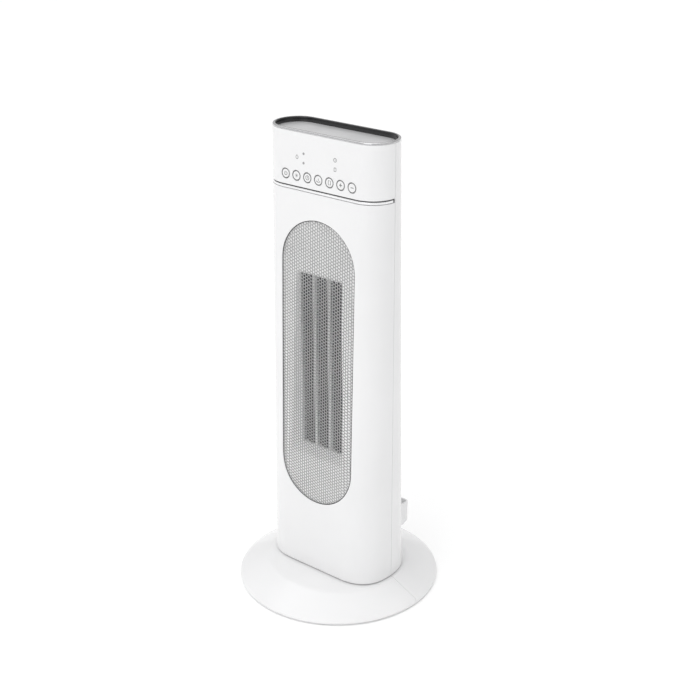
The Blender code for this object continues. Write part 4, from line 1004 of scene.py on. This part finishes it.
sign_path = [
    (0.0009, -0.0021),
    (-0.0015, -0.0021),
    (-0.0015, 0.0021),
    (0.0015, 0.0021),
    (0.0015, -0.0021),
]
for start, stop in zip(sign_path[:-1], sign_path[1:]):
    add_print(stroke([start, stop], print_line, ink_low, ink_high, sheet_sign))
piece("fascia_prints", prints, "tower", "control_fascia", replaces=False)


# ================================================================ seven keys
# Each key is a short round white plunger with a dished cap. A grey ring is printed round the cap
# and a grey sign in its middle; every key moves on its own.

key_radius = 0.0064
key_length = 0.0060
key_section = [
    (0.0, -key_length),
    (key_radius, -key_length),
    (key_radius, -0.00035),
    (key_radius - 0.0001, -0.00015),
    (key_radius - 0.0003, -0.00002),
    (key_radius - 0.0005, 0.0),
    (0.0050, -0.00003),
    (0.0040, -0.00012),
    (0.0025, -0.00020),
    (0.0, -0.00024),
]
ring_ink = speckled("key_ring_grey", (0.15, 0.15, 0.15), 0.12, 0.0008)
sign_ink = speckled("key_sign_grey", (0.20, 0.20, 0.20), 0.12, 0.0008)
mark_low, mark_high = -0.00040, -0.00006


def key_sign(number, place):
    """The raised grey sign of one key, as a list of shapes."""
    line = 0.00055
    level = (mark_low, mark_high, place)
    if number == 1:
        shapes = [stroke(arc(0.0021, 125.0, 415.0), line, *level)]
        shapes += [stroke([(0.0, 0.0004), (0.0, 0.0026)], line, *level)]
    elif number == 2:
        dot = [(0.0, mark_low), (0.0009, mark_low), (0.0009, mark_high), (0.0, mark_high)]
        shapes = [turned(dot, place, 20)]
        for angle in np.arange(8) * 45.0:
            ends = [arc(radius, angle, angle, 1)[0] for radius in (0.0014, 0.0022)]
            shapes += [stroke(ends, 0.0004, *level)]
    elif number == 3:
        shapes = [ring_of(0.0026, line, *level)]
        shapes += [stroke([(0.0, 0.0018), (0.0, 0.0), (0.0013, -0.0007)], line, *level)]
    elif number == 4:
        shapes = [stroke(arc(0.0026, 215.0, 325.0), line, *level)]
        for side in (-1, 1):
            arrow = [(side * 0.0026, -0.0006), (side * 0.0031, -0.0021), (side * 0.0012, -0.0017)]
            shapes += [post(arrow[::side], *level)]
        shapes += [stroke([(0.0, -0.0009), (0.0, 0.0022)], line, *level)]
    elif number == 5:
        shapes = []
        for side in (-1, 1):
            near, far, half = side * 0.0004, side * 0.0018, 0.0024
            bracket = [(near, half), (far, half), (far, -half), (near, -half)]
            for start, stop in zip(bracket[:-1], bracket[1:]):
                shapes += [stroke([start, stop], line, *level)]
    elif number == 6:
        shapes = [stroke([(-0.0022, 0.0), (0.0022, 0.0)], 0.0008, *level)]
        shapes += [stroke([(0.0, -0.0022), (0.0, 0.0022)], 0.0008, *level)]
    else:
        shapes = [stroke([(-0.0022, 0.0), (0.0022, 0.0)], 0.0008, *level)]
    return shapes


for number in range(1, 8):
    node = f"key_{number}"
    place = face_axes((number - 4) * key_pitch, key_z, -1)
    ring = [(0.0052, -0.0003), (0.00625, -0.0003), (0.00625, 0.00004), (0.0052, 0.00004)]
    parts = [
        (*turned(key_section, place, 48), white_gloss),
        (*turned(ring, place, 48), ring_ink),
    ]
    parts += [(*shape, sign_ink) for shape in key_sign(number, place)]
    piece(f"round_key_{number}", parts, node, node)


# ================================================================ top trim ring and brushed panel
# A dark chrome ring caps the casing and turns down inside as a deep black wall. A plate of brushed
# silver lies at the bottom of the recess.

panel_top = 0.6136
panel_thickness = 0.0015
panel_inset = 0.0046


def round_the_casing(z, inset, steps=110):
    """Rows of a (z, inset) section carried all the way round the casing, front and then rear."""
    z, inset = np.asarray(z, float)[None, :], np.asarray(inset, float)[None, :]
    share = np.linspace(1.0, -1.0, steps)[:-1, None]
    halves = []
    for side in (-1, 1):
        half = on_casing(-side * share, z, inset, side)
        half[0, :, 1] = 0.0
        halves.append(half)
    return np.concatenate(halves)


trim_section = np.array(
    [
        (0.6175, 0.0),
        (0.6190, 0.0),
        (0.6195, 0.0002),
        (0.6198, 0.0006),
        (0.6200, 0.0013),
        (0.6200, 0.0029),
        (0.6198, 0.0036),
        (0.6193, 0.0041),
        (0.6186, 0.0043),
        (0.6096, 0.0043),
        (0.6096, 0.0028),
        (0.6175, 0.0028),
    ]
)
points = round_the_casing(trim_section[:, 0], trim_section[:, 1])
faces = quads(len(points), len(trim_section), True, True)
in_recess = (faces.min(1) % len(trim_section) >= 5) & (faces.max(1) % len(trim_section) <= 10)
rim_chrome = painted_metal("rim_dark_chrome", (0.66, 0.66, 0.67), 0.9, 0.17)
recess_black = moulded_plastic("recess_gloss_black", (0.012, 0.012, 0.013), 0.2, coat=0.2)
piece(
    "top_trim",
    [(points, [faces[~in_recess]], rim_chrome), (points, [faces[in_recess]], recess_black)],
    "tower",
    "top_trim_ring",
)
panel_rows = [
    (panel_top - panel_thickness, panel_inset),
    (panel_top - 0.0002, panel_inset),
    (panel_top, panel_inset + 0.0002),
]
points = round_the_casing(*zip(*panel_rows))
count = len(points)
caps = [[list(range(0, 3 * count, 3))], [list(range(2, 3 * count, 3))]]
brushed_silver = painted_metal("brushed_silver", (0.84, 0.84, 0.85), 0.6, 0.36, scratches=0.35)
piece(
    "brushed_top_panel",
    [(points, [quads(count, 3, round_rows=True), *caps], brushed_silver)],
    "tower",
    "top_panel",
)


# ================================================================ intake grille and dust filter
# At the back a white louvred grille snaps into the intake opening and pulls straight out with its
# woven filter. Its slats lie between a rounded frame and a rib down the middle.

louvre_half_width = 0.0435
louvre_low = 0.1923
louvre_high = 0.4691
slat_rows = 24
slat_pitch = 0.0110
counts = (60, 150)
outer_x, outer_z = opening_outline(louvre_half_width, louvre_low, louvre_high, 0.0075, counts)
fold = np.linspace(0.0, math.pi / 2, 5)
frame_rows = [(-0.0004 * (1 - math.cos(a)), 1.0, 0.0004 * (1 - math.sin(a))) for a in fold]
frame_rows += [(0.0, share, 0.0) for share in (0.85, 0.5, 0.15)]
frame_rows += [(0.0006 * (1 - math.sin(a)), 0.0, 0.0006 * (1 - math.cos(a))) for a in fold]
frame_rows += [(0.0, 0.0, 0.0025), (0.0, 1.0, 0.0025)]
louvre_frame = wall_with_opening(
    opening_outline(0.0380, 0.1972, 0.4642, 0.0030, counts),
    (share_at(outer_x, outer_z), outer_z),
    frame_rows,
    1,
)
slat_section = rounded(
    [(0.0030, 0.0002), (0.0030, 0.0010), (-0.0030, 0.0025), (-0.0030, 0.0014)],
    [0.0003, 0.0003, 0.0003, 0.0003],
    4,
)


def slat(middle_z):
    """One slanted slat: its (height, inset) section carried across between the frame's sides."""
    height = middle_z + slat_section[None, :, 0]
    end = share_at(np.array(0.0384), middle_z)
    share = np.linspace(-end, end, 40)[:, None]
    points = on_casing(share, height, slat_section[None, :, 1], 1)
    return points, capped(len(share), len(slat_section))


grille_middle = (louvre_low + louvre_high) / 2
slat_steps = np.arange(slat_rows) - (slat_rows - 1) / 2
slats = [slat(grille_middle + step * slat_pitch) for step in slat_steps]
rib_levels = np.linspace(0.1968, 0.4646, 30)
rib_corners = [(-0.0015, 0.0004), (0.0015, 0.0004), (0.0015, 0.0025), (-0.0015, 0.0025)]
rib_section = rounded(rib_corners, 0.0004, 4)
rib_share = share_at(rib_section[None, :, 0], rib_levels[:, None])
rib = on_casing(rib_share, rib_levels[:, None], rib_section[None, :, 1], 1)
rib_faces = capped(len(rib_levels), len(rib_section))
piece(
    "louvred_intake",
    [(*shape, white_gloss) for shape in (louvre_frame, *slats, (rib, rib_faces))],
    "intake",
    "intake_grille",
)


def woven(name, colour, pitch):
    """A plain weave: dark holes on a square lattice of the given pitch between pale threads."""
    material, nodes, links, shader, place = new_material(name)
    higher = nodes.new("ShaderNodeMath")
    higher.operation = "MAXIMUM"
    for number, direction in enumerate(("X", "Z")):
        threads = nodes.new("ShaderNodeTexWave")
        threads.bands_direction = direction
        threads.inputs["Scale"].default_value = math.tau / 20 / pitch
        threads.inputs["Distortion"].default_value = 0.4
        links.new(place, threads.inputs["Vector"])
        links.new(threads.outputs["Fac"], higher.inputs[number])
    weave = higher.outputs["Value"]
    toned(nodes, links, weave, shader, colour, 0.15, 0.35, 0.8)
    bumped(nodes, links, weave, shader, 0.6, 0.0003)
    shader.inputs["Roughness"].default_value = 0.75
    return material


filter_weave = woven("filter_weave", (0.12, 0.12, 0.13), 0.0012)
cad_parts["dust_filter"].material_slots[0].material = filter_weave


# ================================================================ mains switch
# A black snap-in rocker switch sits low on the rear shell. The rocker tips in a raised frame and
# carries the usual bar and ring marks.

black_plastic = moulded_plastic("black_switch_plastic", (0.022, 0.022, 0.023), 0.38)


def rimmed(half_across, half_up, corner, section, place, counts=(24, 32)):
    """A closed (offset, height) section carried round a rounded rectangle that grows by offset."""
    origin, axes = place
    section = np.asarray(section, float)
    rows = []
    for offset, height in section:
        up_to = half_up + offset
        x, z = opening_outline(half_across + offset, -up_to, up_to, corner + offset, counts)
        rows.append(np.stack([x, z, np.full_like(x, height)], -1))
    local = np.stack(rows, 1)
    return local @ axes + origin, [quads(len(local), len(section), True, True)]


switch_axes = face_axes(*switch_place, 1)
frame_section = rounded(
    [(-0.0022, 0.0003), (0.0, 0.0003), (0.0, 0.0018), (-0.0022, 0.0018)],
    [0.0, 0.0002, 0.0005, 0.0003],
    4,
)
body_section = [(-0.0022, -0.0130), (-0.0010, -0.0130), (-0.0010, 0.0004), (-0.0022, 0.0004)]
piece(
    "switch_bezel",
    [
        (*rimmed(*switch_half, 0.0022, frame_section, switch_axes), black_plastic),
        (*rimmed(*switch_half, 0.0022, body_section, switch_axes), black_plastic),
    ],
    "tower",
    "switch_frame",
)
rocker_tilt = math.radians(9.0)
tilt_cos, tilt_sin = math.cos(rocker_tilt), math.sin(rocker_tilt)
up_face, out_face = switch_axes[1][1], switch_axes[1][2]
rocker_axes = (
    switch_axes[0],
    np.array(
        [
            switch_axes[1][0],
            up_face * tilt_cos - out_face * tilt_sin,
            out_face * tilt_cos + up_face * tilt_sin,
        ]
    ),
)
rocker_profile = rounded(
    [
        (0.0083, 0.0014),
        (0.0, 0.0004),
        (-0.0083, 0.0014),
        (-0.00764, -0.0020),
        (0.0, -0.0045),
        (0.00764, -0.0020),
    ],
    [0.0004, 0.0020, 0.0004, 0.0, 0.0, 0.0],
    5,
)


def rocker_body():
    """The rocker's side profile carried across, drawn in by a small fillet at both faces."""
    half_width = 0.0047
    across = np.array([-1.0, -0.985, -0.95, 0.95, 0.985, 1.0]) * half_width
    shrink = np.array([0.96, 0.985, 1.0, 1.0, 0.985, 0.96])
    count = len(rocker_profile)
    up_and_out = rocker_profile[None] * shrink[:, None, None]
    sideways = np.broadcast_to(across[:, None, None], (len(across), count, 1))
    local = np.concatenate([sideways, up_and_out], -1)
    return local @ rocker_axes[1] + rocker_axes[0], capped(len(across), count)


mark_white = speckled("switch_mark_white", (0.75, 0.75, 0.75), 0.1, 0.0005)
upper_place = (rocker_axes[0] + rocker_axes[1][1] * 0.0045, rocker_axes[1])
lower_place = (rocker_axes[0] - rocker_axes[1][1] * 0.0045, rocker_axes[1])
piece(
    "power_rocker_cap",
    [
        (*rocker_body(), black_plastic),
        (*stroke([(0.0, -0.0013), (0.0, 0.0013)], 0.0005, 0.0006, 0.00104, upper_place), mark_white),
        (*ring_of(0.0012, 0.0005, 0.0006, 0.00104, lower_place, 24), mark_white),
    ],
    "rocker",
    "power_rocker",
)


# ================================================================ screws and cord gland
# Four zinc-plated pan-head screws with crossed recesses hold the shells together from behind. A
# black gland with a rounded mouth guides the mains lead through the rear wall.

zinc = painted_metal("zinc_plated_steel", (0.56, 0.57, 0.58), 1.0, 0.32)
for number, screw_place in enumerate(screw_places, 1):
    place = face_axes(*screw_place, 1)
    section = [
        (0.0, -0.0125),
        (0.0012, -0.0120),
        (0.0015, -0.0112),
        (0.0015, -0.0057),
        (0.0032, -0.0057),
        (0.0032, -0.0045),
        (0.0029, -0.0039),
        (0.0022, -0.0036),
        (0.0, -0.0035),
    ]
    node = f"casing_screw_{number}"
    parts = [(*turned(section, place, 32), zinc)]
    screw = piece(f"cross_head_screw_{number}", parts, "tower", node)
    slots = [rectangle(0.0019, 0.00038), rectangle(0.00038, 0.0019)]
    bored(screw, [post(slot, -0.0049, -0.0030, place) for slot in slots])

gland_section = rounded(
    [
        (0.0036, -0.0098),
        (0.0055, -0.0098),
        (0.0055, 0.0003),
        (0.0077, 0.0003),
        (0.0077, 0.0016),
        (0.0036, 0.0016),
    ],
    [0.0, 0.0003, 0.0, 0.0002, 0.0006, 0.0007],
    5,
)
piece(
    "cord_entry_gland",
    [(*turned(gland_section, face_axes(*gland_place, 1), 48), black_plastic)],
    "tower",
    "cord_gland",
)


# ================================================================ remote pocket
# A small open-topped box of white plastic is moulded to the back of the rear shell, low on the
# right, to hold the remote. Its underside slopes up to the rear.

pocket_left = 0.0225
pocket_right = 0.0705
pocket_back = 0.0655
pocket_low = 0.0715
pocket_high = 0.1050
pocket_wall = 0.0020
pocket_inner_front = 0.0519
pocket_rise = 0.0035


def pocket_rows(rows, counts=(30, 16)):
    """Rows (offset, height, front) of a rounded rectangle in plan, shrunk by offset all round.

    Nothing comes nearer to the tower than front, or than the casing's skin, whichever is further
    out: y = max(y, front, skin + gap).
    """
    middle_x = (pocket_left + pocket_right) / 2
    half_x = (pocket_right - pocket_left) / 2
    out = []
    for offset, height, front in rows:
        low = 0.0380 if front == 0.0 else front
        corner = max(0.0040 - offset, 0.0020)
        x, y = opening_outline(half_x - offset, low, pocket_back - offset, corner, counts)
        x = x + middle_x
        rise = pocket_rise * np.clip((y - 0.0500) / (pocket_back - 0.0500), 0.0, 1.0)
        z = height + (rise if height < 0.5 * (pocket_low + pocket_high) else 0.0)
        z = np.broadcast_to(z, x.shape)
        skin = on_casing(share_at(x, z), z, 0.0, 1)[..., 1] + joint_gap
        out.append(np.stack([x, np.maximum(y, skin), z], -1))
    points = np.stack(out, 1)
    count = len(rows)
    total = points.shape[0]
    caps = [[list(range(0, total * count, count))], [list(range(count - 1, total * count, count))]]
    return points, [quads(total, count, round_rows=True), *caps]


pocket_box = pocket_rows(
    [
        (0.0010, pocket_low, 0.0),
        (0.0003, pocket_low + 0.0003, 0.0),
        (0.0, pocket_low + 0.0010, 0.0),
        (0.0, pocket_low + 0.0040, 0.0),
        (0.0, pocket_high - 0.0060, 0.0),
        (0.0, pocket_high - 0.0006, 0.0),
        (0.0002, pocket_high - 0.0002, 0.0),
        (0.0006, pocket_high, 0.0),
        (pocket_wall - 0.0006, pocket_high, pocket_inner_front - 0.0006),
        (pocket_wall - 0.0002, pocket_high - 0.0002, pocket_inner_front - 0.0002),
        (pocket_wall, pocket_high - 0.0006, pocket_inner_front),
        (pocket_wall, pocket_low + 0.0040, pocket_inner_front),
        (pocket_wall + 0.0008, pocket_low + pocket_wall, pocket_inner_front + 0.0008),
    ]
)
piece("remote_holder", [(*pocket_box, white_gloss)], "tower", "remote_pocket")


# ================================================================ inner works
# Everything inside and under the heater keeps its own shape: the swivel with its glide rings and
# crank, the blower, boards, ballast and feet. Each gets the finish of what it is made of.


def board_with_tracks(name):
    """A green circuit board: broken darker tracks over it and bright solder dots."""
    material, nodes, links, shader, place = new_material(name)
    tracks = nodes.new("ShaderNodeTexBrick")
    tracks.inputs["Scale"].default_value = 160.0
    tracks.inputs["Color1"].default_value = (0.03, 0.20, 0.08, 1.0)
    tracks.inputs["Color2"].default_value = (0.04, 0.25, 0.10, 1.0)
    tracks.inputs["Mortar"].default_value = (0.02, 0.10, 0.04, 1.0)
    tracks.inputs["Mortar Size"].default_value = 0.06
    dots = nodes.new("ShaderNodeTexVoronoi")
    dots.inputs["Scale"].default_value = 220.0
    solder = nodes.new("ShaderNodeMath")
    solder.operation = "LESS_THAN"
    solder.inputs[1].default_value = 0.16
    blend = nodes.new("ShaderNodeMix")
    blend.data_type = "RGBA"
    blend.inputs["B"].default_value = (0.6, 0.6, 0.58, 1.0)
    turn = nodes.new("ShaderNodeMapping")
    turn.inputs["Rotation"].default_value = (math.pi / 2, 0.0, 0.0)
    links.new(place, turn.inputs["Vector"])
    links.new(turn.outputs["Vector"], tracks.inputs["Vector"])
    links.new(place, dots.inputs["Vector"])
    links.new(dots.outputs["Distance"], solder.inputs[0])
    links.new(solder.outputs["Value"], blend.inputs["Factor"])
    links.new(tracks.outputs["Color"], blend.inputs["A"])
    links.new(blend.outputs["Result"], shader.inputs["Base Color"])
    shader.inputs["Roughness"].default_value = 0.4
    return material


acetal = moulded_plastic("acetal_cream", (0.80, 0.79, 0.74), 0.35)
inner_black = moulded_plastic("inner_black_plastic", (0.03, 0.03, 0.032), 0.5)
inner_white = moulded_plastic("inner_white_plastic", (0.74, 0.74, 0.74), 0.45)
foot_rubber = speckled("foot_rubber", (0.035, 0.035, 0.036), 0.4, 0.0008)
cast_iron = painted_metal("ballast_cast_iron", (0.10, 0.10, 0.105), 0.6, 0.6)
green_board = board_with_tracks("green_circuit_board")
finishes = {
    "ballast_plate": cast_iron,
    "tip_switch_body": inner_black,
    "thermal_cutout": inner_black,
    "blower_housing": inner_black,
    "blower_wheel": inner_black,
    "pivot_hub": inner_white,
    "bottom_plate": inner_white,
    "control_board": green_board,
    "power_board": green_board,
}
for number in range(1, 5):
    finishes[f"foot_pad_{number}"] = foot_rubber
for node in ("tip_plunger", "lower_glide_ring", "upper_glide_ring", "crank_disc", "upper_bearing"):
    finishes[node] = acetal
for node in ("base_screw_1", "base_screw_2", "hub_retainer", "drive_arm", "swivel_motor"):
    finishes[node] = zinc
for node in ("equipment_shelf", "blower_motor", "motor_bracket", "blower_shaft"):
    finishes[node] = zinc
for node, finish in finishes.items():
    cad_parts[node].material_slots[0].material = finish
